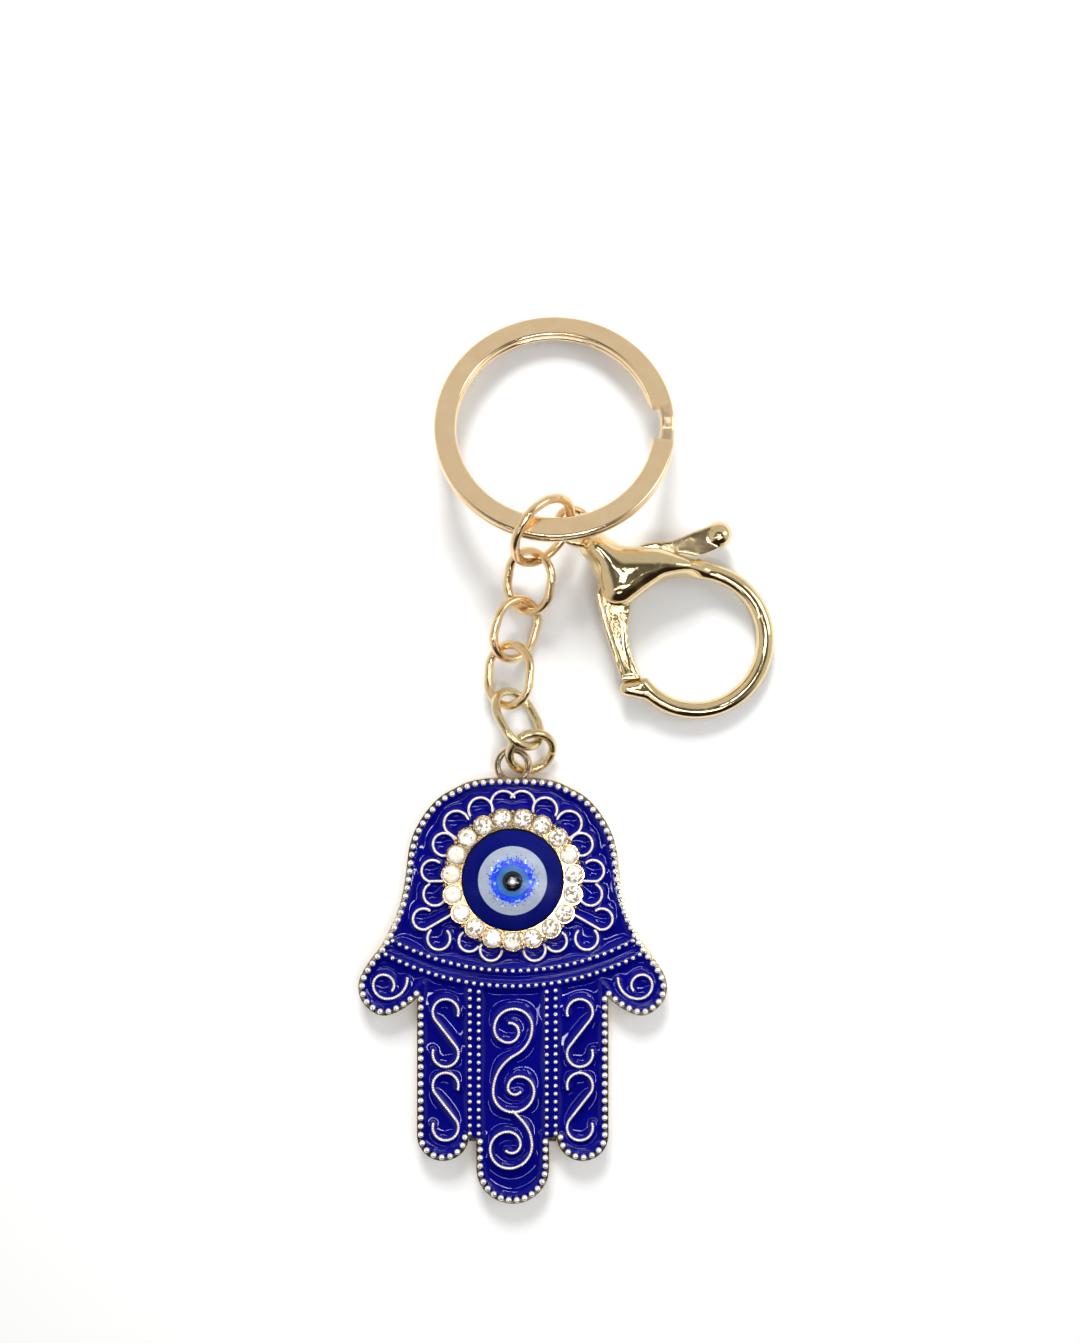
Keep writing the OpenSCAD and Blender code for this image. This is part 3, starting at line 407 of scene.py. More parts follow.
def insideMask(pairs, xs, ys):
    # which grid points lie inside the outlines, row by row
    mask = np.zeros((len(ys), len(xs)), bool)
    a, b = pairs[:, 0], pairs[:, 1]
    low, high = np.minimum(a[:, 1], b[:, 1]), np.maximum(a[:, 1], b[:, 1])
    for row, y in enumerate(ys):
        hit = (low <= y) & (high > y)
        if hit.any():
            share = (y - a[hit, 1]) / (b[hit, 1] - a[hit, 1])
            crossings = np.sort(a[hit, 0] + share * (b[hit, 0] - a[hit, 0]))
            mask[row] = np.searchsorted(crossings, xs) % 2 == 1
    return mask


def maskAt(mask, points, low):
    # the mask's value in the cell that each point falls in
    row, column = [((points[:, axis] - low[axis]) / enamel["maskCell"]).round().astype(int)
                   .clip(0, mask.shape[1 - axis] - 1) for axis in (1, 0)]
    return mask[row, column]


def settingPlaces():
    angles = [2 * math.pi * i / enamel["settings"] - math.pi / 2 for i in range(enamel["settings"])]
    return [(enamel["settingCircle"] * math.cos(a), enamel["settingCircle"] * math.sin(a)) for a in angles]


def wetHeights(pairs, low, high):
    # how high wet enamel stands: it climbs every wall and ridge and settles flat between them
    climb = None
    for cell in enamel["settleCells"]:
        xs, ys = np.arange(low[0], high[0], cell), np.arange(low[1], high[1], cell)
        free = insideMask(pairs, xs, ys)
        for middle in settingPlaces():
            far = (xs[None, :] - middle[0]) ** 2 + (ys[:, None] - middle[1]) ** 2
            free &= far > enamel["settingRadius"] ** 2
        start = np.ones(free.shape)
        if climb is not None:
            start = climb[np.minimum(np.arange(len(ys)) // 2, climb.shape[0] - 1)][
                :, np.minimum(np.arange(len(xs)) // 2, climb.shape[1] - 1)]
        climb = np.where(free, start, 1.0)
        weight = 1 / (4 + (cell / enamel["reach"]) ** 2)
        for turn in range(enamel["settleTurns"]):
            near = np.roll(climb, 1, 0) + np.roll(climb, -1, 0) + np.roll(climb, 1, 1) + np.roll(climb, -1, 1)
            climb = np.where(free, near * weight, 1.0)
    return xs, ys, climb


def sampled(grid, xs, ys, points):
    # the grid's value at each point, mixed from the four grid points round it
    cell = xs[1] - xs[0]
    u = np.clip((points[:, 0] - xs[0]) / cell, 0, len(xs) - 1.001)
    v = np.clip((points[:, 1] - ys[0]) / cell, 0, len(ys) - 1.001)
    i, j = u.astype(int), v.astype(int)
    s, t = u - i, v - j
    return ((1 - s) * (1 - t) * grid[j, i] + s * (1 - t) * grid[j, i + 1]
            + (1 - s) * t * grid[j + 1, i] + s * t * grid[j + 1, i + 1])


def drawnIn(loop, inset):
    # a closed ring of points moved inwards, with its corners kept
    nextPoint, lastPoint = np.roll(loop, -1, 0), np.roll(loop, 1, 0)
    area = 0.5 * np.sum(loop[:, 0] * nextPoint[:, 1] - nextPoint[:, 0] * loop[:, 1])
    side = 1.0 if area > 0 else -1.0
    normals = []
    for way in (nextPoint - loop, loop - lastPoint):
        way /= np.linalg.norm(way, axis=1)[:, None]
        normals.append(np.c_[-way[:, 1], way[:, 0]] * side)
    middle = normals[0] + normals[1]
    middle /= np.maximum(np.linalg.norm(middle, axis=1), 1e-6)[:, None]
    cosine = np.maximum(np.sum(middle * normals[0], axis=1), 0.5)
    return loop + middle * (inset / cosine)[:, None]


def evenly(loop, step):
    # the same ring with points no further apart than a step
    points = []
    for a, b in zip(loop, np.roll(loop, -1, 0)):
        count = max(1, int(math.ceil(np.linalg.norm(b - a) / step)))
        points += [a + (b - a) * k / count for k in range(count)]
    return np.array(points)


def cutFilm(rings, walls, points):
    # triangles between the points that follow every ring and wall
    vertices, links = [], []
    for ring in rings + walls:
        base = len(vertices)
        vertices += [tuple(p) for p in ring]
        links += [(base + k, base + (k + 1) % len(ring)) for k in range(len(ring))]
    vertices += [tuple(p) for p in points]
    cut = geometry.delaunay_2d_cdt([Vector(v) for v in vertices], links, [], 2, 1e-5, False)
    return np.array([(p.x, p.y) for p in cut[0]]), np.array(cut[2])


def buildEnamel():
    fields = np.concatenate([topEdges(name) for name in enamel["nodes"]])
    outline = max(loopsOf(topEdges("hand_casting", upwards=False)), key=len)
    low, high = outline.min(0) - enamel["margin"], outline.max(0) + enamel["margin"]
    xs, ys, climb = wetHeights(fields, low, high)
    report("enamel settled")
    step, cell = enamel["grid"], enamel["maskCell"]
    turns = np.linspace(0, 2 * math.pi, enamel["holePoints"], endpoint=False)
    rings = [evenly(drawnIn(outline, enamel["edgeInset"]), step),
             enamel["holeRadius"] * np.c_[np.cos(turns), np.sin(turns)]]
    ringPairs = np.concatenate([np.stack([ring, np.roll(ring, -1, 0)], 1) for ring in rings])
    within = insideMask(ringPairs, np.arange(low[0], high[0], cell), np.arange(low[1], high[1], cell))
    gridX = np.arange(low[0], high[0], step)
    gridY = np.arange(low[1], high[1], step * math.sqrt(0.75))
    points = np.array([(x + (row % 2) * step / 2, y) for row, y in enumerate(gridY) for x in gridX])
    points = points[maskAt(within, points, low)]
    # walls and ridges are followed exactly, so that the film bends where they stand
    flat, corners = cutFilm(rings, [evenly(loop, step) for loop in loopsOf(fields)], points)
    middles = flat[corners].mean(1)
    kept = maskAt(within, middles, low)
    for place in settingPlaces():
        kept &= np.hypot(middles[:, 0] - place[0], middles[:, 1] - place[1]) > enamel["settingHole"]
    corners = corners[kept]
    report(f"enamel cut into {len(corners)} faces")
    return flat, corners, sampled(climb, xs, ys, flat)


def closedSheet(name, flat, corners, tops, bottom):
    # a top face of many heights over a flat underside, with walls round it
    used = np.unique(corners)
    places = np.zeros(len(flat), int)
    places[used] = np.arange(len(used))
    flat, tops, corners = flat[used], tops[used], places[corners]
    count = len(flat)
    vertices = np.concatenate([np.c_[flat, tops], np.c_[flat, np.full(count, bottom)]])
    a, b, c = flat[corners[:, 0]], flat[corners[:, 1]], flat[corners[:, 2]]
    turned = (b[:, 0] - a[:, 0]) * (c[:, 1] - a[:, 1]) - (b[:, 1] - a[:, 1]) * (c[:, 0] - a[:, 0]) < 0
    corners[turned] = corners[turned][:, ::-1]
    directed = np.concatenate([corners[:, [0, 1]], corners[:, [1, 2]], corners[:, [2, 0]]])
    keys = {(int(p), int(q)) for p, q in directed}
    faces = [tuple(t) for t in corners.tolist()]
    faces += [tuple(count + i for i in reversed(t)) for t in corners.tolist()]
    faces += [(q, p, p + count, q + count) for p, q in keys if (q, p) not in keys]
    mesh = newMesh(name, vertices.tolist(), [], faces, mm)
    mesh.polygons.foreach_set("use_smooth", [True] * len(corners) + [False] * (len(faces) - len(corners)))
    mesh.update()
    return newObject(name, mesh)


# deep blue glass paste, with a faint cloud in its colour and the slightest ripple on top
enamelFinish = {"tones": ((0.0005, 0.0007, 0.115, 1), (0.0007, 0.0009, 0.160, 1)), "cloudScale": 160.0,
                "grainScale": 5200.0, "grainLevels": (0.3, 0.8), "roughness": (0.015, 0.035),
                "rippleScale": 420.0, "rippleHeight": 0.000006, "specular": 0.2}


def buildEnamelMaterial():
    material, tree, shader = newMaterial("enamelBlue")
    place = objectPlace(tree)
    cloud = noiseNode(tree, place, enamelFinish["cloudScale"], detail=3.0)
    grain = noiseNode(tree, place, enamelFinish["grainScale"], detail=2.0)
    ripple = noiseNode(tree, place, enamelFinish["rippleScale"], detail=1.0)
    bump = addNode(tree, "ShaderNodeBump", {"Height": ripple, "Distance": enamelFinish["rippleHeight"]})
    setInputs(tree, shader, {
        "Base Color": mixColours(tree, rampNode(tree, cloud, *cloudLevels), *enamelFinish["tones"]),
        "Roughness": rampNode(tree, grain, *enamelFinish["grainLevels"], *enamelFinish["roughness"]),
        "Normal": bump.outputs["Normal"], "Specular IOR Level": enamelFinish["specular"]})
    return material


flat, corners, climb = buildEnamel()
enamelTops = enamel["level"] + (enamel["rim"] - enamel["level"]) * climb
enamelSheet = closedSheet("enamelSheet", flat, corners, enamelTops, enamel["underside"])
enamelSheet.data.materials.append(buildEnamelMaterial())
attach(enamelSheet, "hand")
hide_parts(*enamel["nodes"])
report("enamel built")

# line ornament

# lengths in millimetres and angles in degrees
ornament = {"height": 2.41, "petalReach": 11.0, "petalRadius": 1.45, "stalkFrom": 8.0, "arcStep": 0.12,
            "scrollRadius": 1.6, "scrollHeight": 8.4, "scrollOffset": 8.35, "scrollTops": (-14.95, -24.1),
            "scrollHook": 195}
# every petal: its angle from the top, its shares of the reach and radius, where its arch begins and ends
# from its tip, and whether a stalk runs inwards
petals = [(7, 1, 1.07, 66, -78, False), (24.9, 1, 1.03, 124, -92, False), (45.4, 1.035, 1.07, 113, -87, True),
          (63.2, 0.995, 0.97, 127, -141, False), (84.3, 1.035, 0.93, 122, -79, True),
          (101.1, 1.025, 0.97, 70, -144, False), (114.2, 1.225, 0.9, 148, -79, True),
          (128.8, 1.2, 0.97, 81, -180, False), (145, 0.975, 0.9, 106, -90, False),
          (162.9, 0.96, 0.93, 99, -99, False)]
# every spiral: where it starts, its heading there, its size, and its turns as shares of that and angles
thumbSpiral = ((13.1, -12.4), -90, 2.5, [(1, 90), (0.7, 90), (0.5, 90), (0.54, 90), (0.36, 40)])
middleSpirals = [
    ((-0.39, -17.9), 0, 2.6,
     [(0.44, -90), (0.5, -90), (0.67, -90), (0.94, -90), (0.87, -90), (1.5, -62), (2.02, 62), (0.96, 90),
      (1, 90), (0.71, 90), (0.54, 90), (0.33, 90), (0.35, 45)]),
    ((0, -28.9), -40, 2.6,
     [(3.85, -12), (1.7, -38), (1.1, -90), (0.9, -90), (0.85, -90), (0.6, -90), (0.42, -90), (0.38, -40)])]


def arcPoints(middle, radius, start, end):
    count = max(3, int(abs(end - start) * math.pi / 180 * radius / ornament["arcStep"]))
    angles = np.radians(np.linspace(start, end, count))
    return [(middle[0] + radius * math.cos(a), middle[1] + radius * math.sin(a)) for a in angles]


def turnedLine(place, heading, size, turns):
    # a line of arcs, each going on from the last one
    points = []
    for share, turn in turns:
        side = 1 if turn > 0 else -1
        radius = share * size
        h = math.radians(heading)
        middle = (place[0] - side * radius * math.sin(h), place[1] + side * radius * math.cos(h))
        arc = arcPoints(middle, radius, heading - side * 90, heading - side * 90 + turn)
        points += arc if not points else arc[1:]
        place, heading = arc[-1], heading + turn
    return points


def spun(points, angle):
    c, s = math.cos(math.radians(angle)), math.sin(math.radians(angle))
    return [(x * c - y * s, x * s + y * c) for x, y in points]


def mirrored(lines):
    return lines + [[(-x, y) for x, y in line] for line in lines]


def petalLines():
    lines = []
    for angle, reachShare, radiusShare, start, end, stalk in petals:
        radius = radiusShare * ornament["petalRadius"]
        middle = (0, reachShare * ornament["petalReach"] - radius)
        line = spun(arcPoints(middle, radius, 90 + start, 90 + end), -angle)
        lines.append(line)
        if stalk:
            near = ornament["stalkFrom"] / math.hypot(*line[-1])
            lines.append([(line[-1][0] * near, line[-1][1] * near), line[-1]])
    return mirrored(lines)


def scrollLines():
    radius, height, hook = ornament["scrollRadius"], ornament["scrollHeight"], ornament["scrollHook"]
    tilt = math.degrees(math.asin(min(1, 2 * radius / (height - 2 * radius))))
    lines = []
    for top in ornament["scrollTops"]:
        first = arcPoints((ornament["scrollOffset"], top - radius), radius, hook, -tilt)
        second = arcPoints((ornament["scrollOffset"], top - height + radius), radius, 180 - tilt, 180 + hook)
        lines.append(first + second)
    lines.append(turnedLine(*thumbSpiral))
    return mirrored(lines) + [turnedLine(*spiral) for spiral in middleSpirals]


def pathObject(name, lines, height):
    vertices, edges = [], []
    for line in lines:
        base = len(vertices)
        vertices += [(x, y, height) for x, y in line]
        edges += [(base + k, base + k + 1) for k in range(len(line) - 1)]
    return newObject(name, newMesh(name, vertices, edges, [], mm))


def newTree(name, inputs):
    return newGroup(name, "GeometryNodeTree", [("Geometry", "Geometry", None)] + inputs,
                    [("Geometry", "Geometry")])


def laidOut(tree, points, instance, rotation):
    # the instance at every point, made real
    laid = addNode(tree, "GeometryNodeInstanceOnPoints", {"Points": points, "Instance": instance,
                                                          "Rotation": rotation})
    return addNode(tree, "GeometryNodeRealizeInstances", {0: laid.outputs[0]}).outputs[0]


def endTree(tree, made, shape, material):
    finish = addNode(tree, "GeometryNodeSetMaterial", {"Geometry": shape, "Material": material})
    tree.links.new(finish.outputs[0], made.inputs[0])


def evaluated(obj):
    # the object's shape with its modifiers carried out
    bpy.context.view_layer.update()
    mesh = bpy.data.meshes.new_from_object(obj.evaluated_get(bpy.context.evaluated_depsgraph_get()))
    obj.modifiers.clear()
    obj.data = mesh
    return mesh


def runTree(obj, tree, identifiers, values):
    # the tree's result as a plain mesh in place of the object's own
    modifier = obj.modifiers.new(tree.name, "NODES")
    modifier.node_group = tree
    for name, value in values.items():
        modifier[identifiers[name]] = value
    evaluated(obj)
    return obj


def buildWireTree():
    # a wire laid as slanted grains along a path, so that it reads as twisted
    tree, given, made, identifiers = newTree("twistedWire", [
        ("Pitch", "Float", 0.0003), ("Width", "Float", 0.00018), ("Grain Length", "Float", 0.0002),
        ("Slant", "Float", 0.6), ("Metal", "Material", None)])
    values = given.outputs
    curve = addNode(tree, "GeometryNodeMeshToCurve", {"Mesh": values["Geometry"]})
    even = addNode(tree, "GeometryNodeResampleCurve", {"Curve": curve.outputs[0], "Length": values["Pitch"]},
                   mode="LENGTH")
    grain = addNode(tree, "GeometryNodeMeshUVSphere", {"Segments": 8, "Rings": 5, "Radius": 1.0})
    size = combined(tree, values["Grain Length"], values["Width"], values["Width"])
    shaped = addNode(tree, "GeometryNodeTransform", {"Geometry": grain.outputs["Mesh"], "Scale": size})
    slanted = addNode(tree, "GeometryNodeTransform", {"Geometry": shaped.outputs[0],
                                                      "Rotation": combined(tree, z=values["Slant"])})
    tangent = addNode(tree, "GeometryNodeInputTangent")
    aimed = addNode(tree, "FunctionNodeAlignRotationToVector", {"Vector": tangent.outputs[0]},
                    axis="X", pivot_axis="Z")
    real = laidOut(tree, even.outputs[0], slanted.outputs[0], aimed.outputs[0])
    soft = addNode(tree, "GeometryNodeSetShadeSmooth", {0: real})
    endTree(tree, made, soft.outputs[0], values["Metal"])
    return tree, identifiers


# how each wire is twisted, in metres and radians
wireTwists = {"petalWire": {"Pitch": 0.00016, "Width": 0.00017, "Grain Length": 0.0002, "Slant": 0.35},
              "scrollWire": {"Pitch": 0.0003, "Width": 0.00017, "Grain Length": 0.00021, "Slant": 0.5}}
wireTree, wireSockets = buildWireTree()
for name, lines in (("petalWire", petalLines()), ("scrollWire", scrollLines())):
    piece = runTree(pathObject(name, lines, ornament["height"]), wireTree, wireSockets,
                    dict(wireTwists[name], Metal=goldMaterials["ropePaintedHighlightGold"]))
    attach(piece, "hand")
report("line ornament built")

# stones round the eye

# a cut stone's radii and heights above its girdle in millimetres; the ring of stones in metres and radians
stone = {"sides": 8, "table": (0.66, 0.44), "crown": (0.97, 0.27), "girdle": (1.13, 0.0),
         "underGirdle": (1.13, -0.06), "pavilion": (0.56, -0.40), "point": -0.68, "count": enamel["settings"],
         "circle": enamel["settingCircle"] * mm, "seat": 0.00298, "tilt": 0.05, "seed": 7}
# the foil dish behind it, inside and outside, in the same measures
foil = {"sides": 16, "inside": [(1.085, -0.10), (0.60, -0.45)], "insidePoint": -0.73,
        "outside": [(1.10, -0.12), (0.62, -0.49)], "outsidePoint": -0.77}


def ringOf(count, radius, height, turn=0.0):
    return [(radius * math.cos(2 * math.pi * (k + turn) / count),
             radius * math.sin(2 * math.pi * (k + turn) / count), height) for k in range(count)]


def meshOf(shape, name):
    mesh = bpy.data.meshes.new(name)
    shape.to_mesh(mesh)
    shape.free()
    return mesh


def buildStoneMesh():
    # one cut stone as the hull of its corners: table, crown, girdle and point
    sides = stone["sides"]
    corners = ringOf(sides, *stone["table"]) + ringOf(sides, *stone["crown"], 0.5)
    corners += ringOf(2 * sides, *stone["girdle"]) + ringOf(2 * sides, *stone["underGirdle"])
    corners += ringOf(sides, *stone["pavilion"], 0.5) + [(0, 0, stone["point"])]
    shape = bmesh.new()
    for corner in corners:
        shape.verts.new(Vector(corner) * mm)
    bmesh.ops.convex_hull(shape, input=shape.verts)
    return meshOf(shape, "cutStone")


def buildFoilMesh():
    # the mirror foil behind a stone: a thin closed dish of flat faces
    sides = foil["sides"]
    vertices = []
    for side in ("inside", "outside"):
        for radius, height in foil[side]:
            vertices += ringOf(sides, radius, height)
        vertices.append((0, 0, foil[side + "Point"]))
    outer = 2 * sides + 1
    faces = []
    for k in range(sides):
        n = (k + 1) % sides
        faces += [(sides + k, sides + n, n, k), (2 * sides, sides + n, sides + k)]
        faces += [(outer + k, outer + n, outer + sides + n, outer + sides + k)]
        faces += [(outer + sides + k, outer + sides + n, outer + 2 * sides), (n, outer + n, outer + k, k)]
    mesh = newMesh("stoneFoil", vertices, [], faces, mm)
    shape = bmesh.new()
    shape.from_mesh(mesh)
    bmesh.ops.recalc_face_normals(shape, faces=shape.faces)
    shape.to_mesh(mesh)
    shape.free()
    return mesh


def buildStoneTree():
    tree, given, made, identifiers = newTree("stoneRing", [
        ("Count", "Int", 19), ("Circle", "Float", 0.0076), ("Height", "Float", 0.0029),
        ("Tilt", "Float", 0.05), ("Seed", "Int", 7), ("Finish", "Material", None)])
    values = given.outputs
    # the first stone sits at the bottom of the ring
    circle = addNode(tree, "GeometryNodeMeshCircle", {"Vertices": values["Count"],
                                                      "Radius": values["Circle"]})
    placed = addNode(tree, "GeometryNodeTransform", {"Geometry": circle.outputs[0],
                                                     "Translation": combined(tree, z=values["Height"]),
                                                     "Rotation": (0.0, 0.0, -math.pi / 2)})
    # each stone is leant a little and turned to any side
    lean = mathNode(tree, "MULTIPLY", values["Tilt"], -1.0)
    chance = addNode(tree, "FunctionNodeRandomValue",
                     {"Min": combined(tree, lean, lean),
                      "Max": combined(tree, values["Tilt"], values["Tilt"], 2 * math.pi),
                      "Seed": values["Seed"]}, data_type="FLOAT_VECTOR")
    turned = addNode(tree, "FunctionNodeEulerToRotation", {0: chance.outputs[0]})
    real = laidOut(tree, placed.outputs[0], values["Geometry"], turned.outputs[0])
    endTree(tree, made, real, values["Finish"])
    return tree, identifiers


# clear glass over bright foil, with painted light: each facet gets a painted reflection from cream to white,
# some of them a dark one, and more so in some stones than in others; a stone gets a painted shade towards its
# girdle, over a height in metres, and a faint painted glow
stoneFinish = {"facetScale": 3300.0, "clearScale": 170.0, "clearLevels": (0.40, 0.60),
               "paintedDarkFacetShares": (0.08, 0.46), "paintedDarkFacetSharpness": 12.0, "paintedSparkleLevels": (0.3, 0.8),
               "tones": ((0.80, 0.72, 0.60, 1), (1.0, 1.0, 1.0, 1)),
               "paintedDarkFacetTone": (0.30, 0.24, 0.17, 1), "edge": (0.00008, 0.00034), "paintedGirdleShadeShare": 0.75,
               "edgeTone": (0.46, 0.37, 0.25, 1), "paintedGlow": 0.17, "transmission": 0.30, "roughness": 0.03,
               "ior": 1.6}
foilFinish = {"crinkleScale": 1500.0, "roughLevels": (0.0, 0.6), "roughness": (0.08, 0.3), "metallic": 0.2,
              "toneLevels": (0.25, 0.6), "tones": ((1.0, 0.99, 0.97, 1), (0.74, 0.69, 0.60, 1))}


def buildStoneGlass():
    glass, tree, shader = newMaterial("stoneGlass")
    place = objectPlace(tree)
    # each facet's random value picks its painted reflection; facets under a limit that differs from stone to stone
    # get a painted dark reflection
    paintedSparkle = cellNode(tree, place, stoneFinish["facetScale"])[1][0]
    clear = noiseNode(tree, place, stoneFinish["clearScale"], detail=0.0)
    limit = rampNode(tree, clear, *stoneFinish["clearLevels"], *stoneFinish["paintedDarkFacetShares"])
    paintedDarkFacets = mathNode(tree, "MULTIPLY", mathNode(tree, "SUBTRACT", limit, paintedSparkle), stoneFinish["paintedDarkFacetSharpness"],
                    clamp=True)
    tone = mixColours(tree, rampNode(tree, paintedSparkle, *stoneFinish["paintedSparkleLevels"]), *stoneFinish["tones"])
    tone = mixColours(tree, paintedDarkFacets, tone, stoneFinish["paintedDarkFacetTone"])
    # the stone gets a painted shade towards its girdle
    low, high = [stone["seat"] + height for height in stoneFinish["edge"]]
    edge = rampNode(tree, heightOf(tree, place), low, high, stoneFinish["paintedGirdleShadeShare"], 0, smooth=True)
    tone = mixColours(tree, edge, tone, stoneFinish["edgeTone"])
    # the stone's tone is given again as a faint painted glow
    setInputs(tree, shader, {"Base Color": tone, "Emission Color": tone,
                             "Emission Strength": stoneFinish["paintedGlow"],
                             "Transmission Weight": stoneFinish["transmission"],
                             "Roughness": stoneFinish["roughness"], "IOR": stoneFinish["ior"]})
    return glass


def buildFoilMetal():
    metal, tree, shader = newMaterial("stoneFoil")
    crinkle = cellNode(tree, objectPlace(tree), foilFinish["crinkleScale"])[0]
    deep = rampNode(tree, crinkle, *foilFinish["toneLevels"])
    setInputs(tree, shader, {
        "Base Color": mixColours(tree, deep, *foilFinish["tones"]),
        "Roughness": rampNode(tree, crinkle, *foilFinish["roughLevels"], *foilFinish["roughness"]),
        "Metallic": foilFinish["metallic"]})
    return metal


stoneTree, stoneSockets = buildStoneTree()
stoneValues = {"Count": stone["count"], "Circle": stone["circle"], "Height": stone["seat"],
               "Tilt": stone["tilt"], "Seed": stone["seed"]}
cutStones = runTree(newObject("cutStones", buildStoneMesh()), stoneTree, stoneSockets,
                    dict(stoneValues, Finish=buildStoneGlass()))
stoneFoils = runTree(newObject("stoneFoils", buildFoilMesh()), stoneTree, stoneSockets,
                     dict(stoneValues, Finish=buildFoilMetal()))
for piece in (cutStones, stoneFoils):
    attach(piece, "hand")
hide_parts("crystals")
report("stones set")

# glass eye

# radii in millimetres, each change running from its first to its second; a layer's edges wobble by a
# noise, its colour is clouded between two tones, and a pick takes the cells whose random value lies past it
eyeFinishes = {
    "eyeNavy": {"wobble": 0.55, "edgeScale": 1100.0, "cloudScale": 220.0, "roughness": (0.22, 0.32),
                "specular": 0.12, "tones": ((0.0003, 0.0022, 0.080, 1), (0.0005, 0.0034, 0.130, 1)),
                "edge": (6.05, 6.25), "edgeTone": (0.0010, 0.0010, 0.0025, 1)},
    "eyeWhite": {"wobble": 0.5, "edgeScale": 1500.0, "cloudScale": 500.0, "roughness": (0.18, 0.30),
                 "specular": 0.3, "tones": ((0.245, 0.285, 0.385, 1), (0.34, 0.385, 0.485, 1)),
                 "inner": (2.95, 3.25), "innerShare": 0.4, "innerTone": (0.16, 0.26, 0.62, 1),
                 "flakeScale": 3800.0, "flakeReach": 0.40, "flakes": (2.86, 2.92),
                 "flakeTone": (0.006, 0.05, 0.62, 1), "speckScale": 3600.0, "specks": (3.0, 3.75),
                 "speckSize": (0.28, 0.42), "darkPick": (0.42, 0.46), "darkTone": (0.012, 0.014, 0.10, 1),
                 "lightPick": (0.80, 0.84), "lightTone": (0.85, 0.90, 1.0, 1)},
    "eyeLightBlue": {"wobble": 0.3, "edgeScale": 1500.0, "cloudScale": 900.0, "roughness": (0.15, 0.28),
                     "specular": 0.3, "tones": ((0.018, 0.088, 0.26, 1), (0.034, 0.150, 0.39, 1)),
                     "edge": (1.85, 2.02), "edgeTone": (0.003, 0.03, 0.62, 1)},
    # some flakes get a pale painted glint
    "eyeBlue": {"flakeScale": 3800.0, "tones": ((0.001, 0.008, 0.50, 1), (0.010, 0.085, 0.95, 1)),
                "glintPick": (0.86, 0.90), "glintShare": 0.7, "glintTone": (0.35, 0.60, 1.0, 1),
                "roughness": (0.15, 0.35), "specular": 0.3},
    # with a painted highlight in its middle: a pale spot, and a grey painted halo round it
    "eyeBlack": {"wobble": 0.2, "edgeScale": 1500.0, "edge": (0.95, 1.2),
                 "polish": (0.0, 1.2), "roughness": (0.06, 0.14),
                 "tones": ((0.004, 0.004, 0.004, 1), (0.002, 0.004, 0.016, 1)),
                 "paintedHalo": (0.34, 0.66), "paintedHaloShare": 0.30, "paintedHaloTone": (0.55, 0.55, 0.60, 1),
                 "seed": (0.20, 0.34), "paintedPupilGlintTone": (0.95, 0.96, 1.0, 1)},
}


def radiusNodes(tree, place, values):
    # distance from the middle of the eye in millimetres, plain and with an uneven edge
    radius = mathNode(tree, "MULTIPLY", distanceFromEye(tree, place), 1000.0)
    noise = noiseNode(tree, place, values["edgeScale"], detail=3.0)
    uneven = mathNode(tree, "MULTIPLY_ADD", mathNode(tree, "SUBTRACT", noise, 0.5), values["wobble"], radius)
    return radius, uneven


def edgePattern(tree, values, place, radius, uneven, colour):
    # another tone past the layer's edge
    return mixColours(tree, rampNode(tree, uneven, *values["edge"]), colour, values["edgeTone"])


def frostPattern(tree, values, place, radius, uneven, colour):
    # the white ring turns blue inwards, with ragged flakes there and dark and light specks round them
    inner = rampNode(tree, uneven, *values["inner"], 1, 0)
    colour = mixColours(tree, mathNode(tree, "MULTIPLY", inner, values["innerShare"]), colour,
                        values["innerTone"])
    flake = cellNode(tree, place, values["flakeScale"])[1][2]
    reach = mathNode(tree, "MULTIPLY_ADD", flake, values["flakeReach"], radius)
    colour = mixColours(tree, rampNode(tree, reach, *values["flakes"], 1, 0), colour, values["flakeTone"])
    distance, picks = cellNode(tree, place, values["speckScale"])
    dot = mathNode(tree, "MULTIPLY", rampNode(tree, distance, *values["speckSize"], 1, 0),
                   rampNode(tree, radius, *values["specks"], 1, 0))
    for pick, kind in ((picks[0], "dark"), (picks[1], "light")):
        share = mathNode(tree, "MULTIPLY", rampNode(tree, pick, *values[kind + "Pick"]), dot)
        colour = mixColours(tree, share, colour, values[kind + "Tone"])
    return colour


def buildCloudedGlass(name, pattern):
    values = eyeFinishes[name]
    material, tree, shader = newMaterial(name)
    place = objectPlace(tree)
    cloud = noiseNode(tree, place, values["cloudScale"], detail=3.0)
    colour = mixColours(tree, cloud, *values["tones"])
    setInputs(tree, shader, {
        "Base Color": pattern(tree, values, place, *radiusNodes(tree, place, values), colour),
        "Roughness": rampNode(tree, cloud, *cloudLevels, *values["roughness"]),
        "Specular IOR Level": values["specular"]})
    return material


def buildFlakeGlass(name):
    # bright blue flakes, each with a tone and a polish of its own
    values = eyeFinishes[name]
    material, tree, shader = newMaterial(name)
    picks = cellNode(tree, objectPlace(tree), values["flakeScale"])[1]
    # flakes past the pick get a pale painted glint
    glint = rampNode(tree, picks[1], *values["glintPick"], 0, values["glintShare"])
    colour = mixColours(tree, picks[0], *values["tones"])
    setInputs(tree, shader, {
        "Base Color": mixColours(tree, glint, colour, values["glintTone"]),
        "Roughness": rampNode(tree, picks[2], 0.0, 1.0, *values["roughness"]),
        "Specular IOR Level": values["specular"]})
    return material


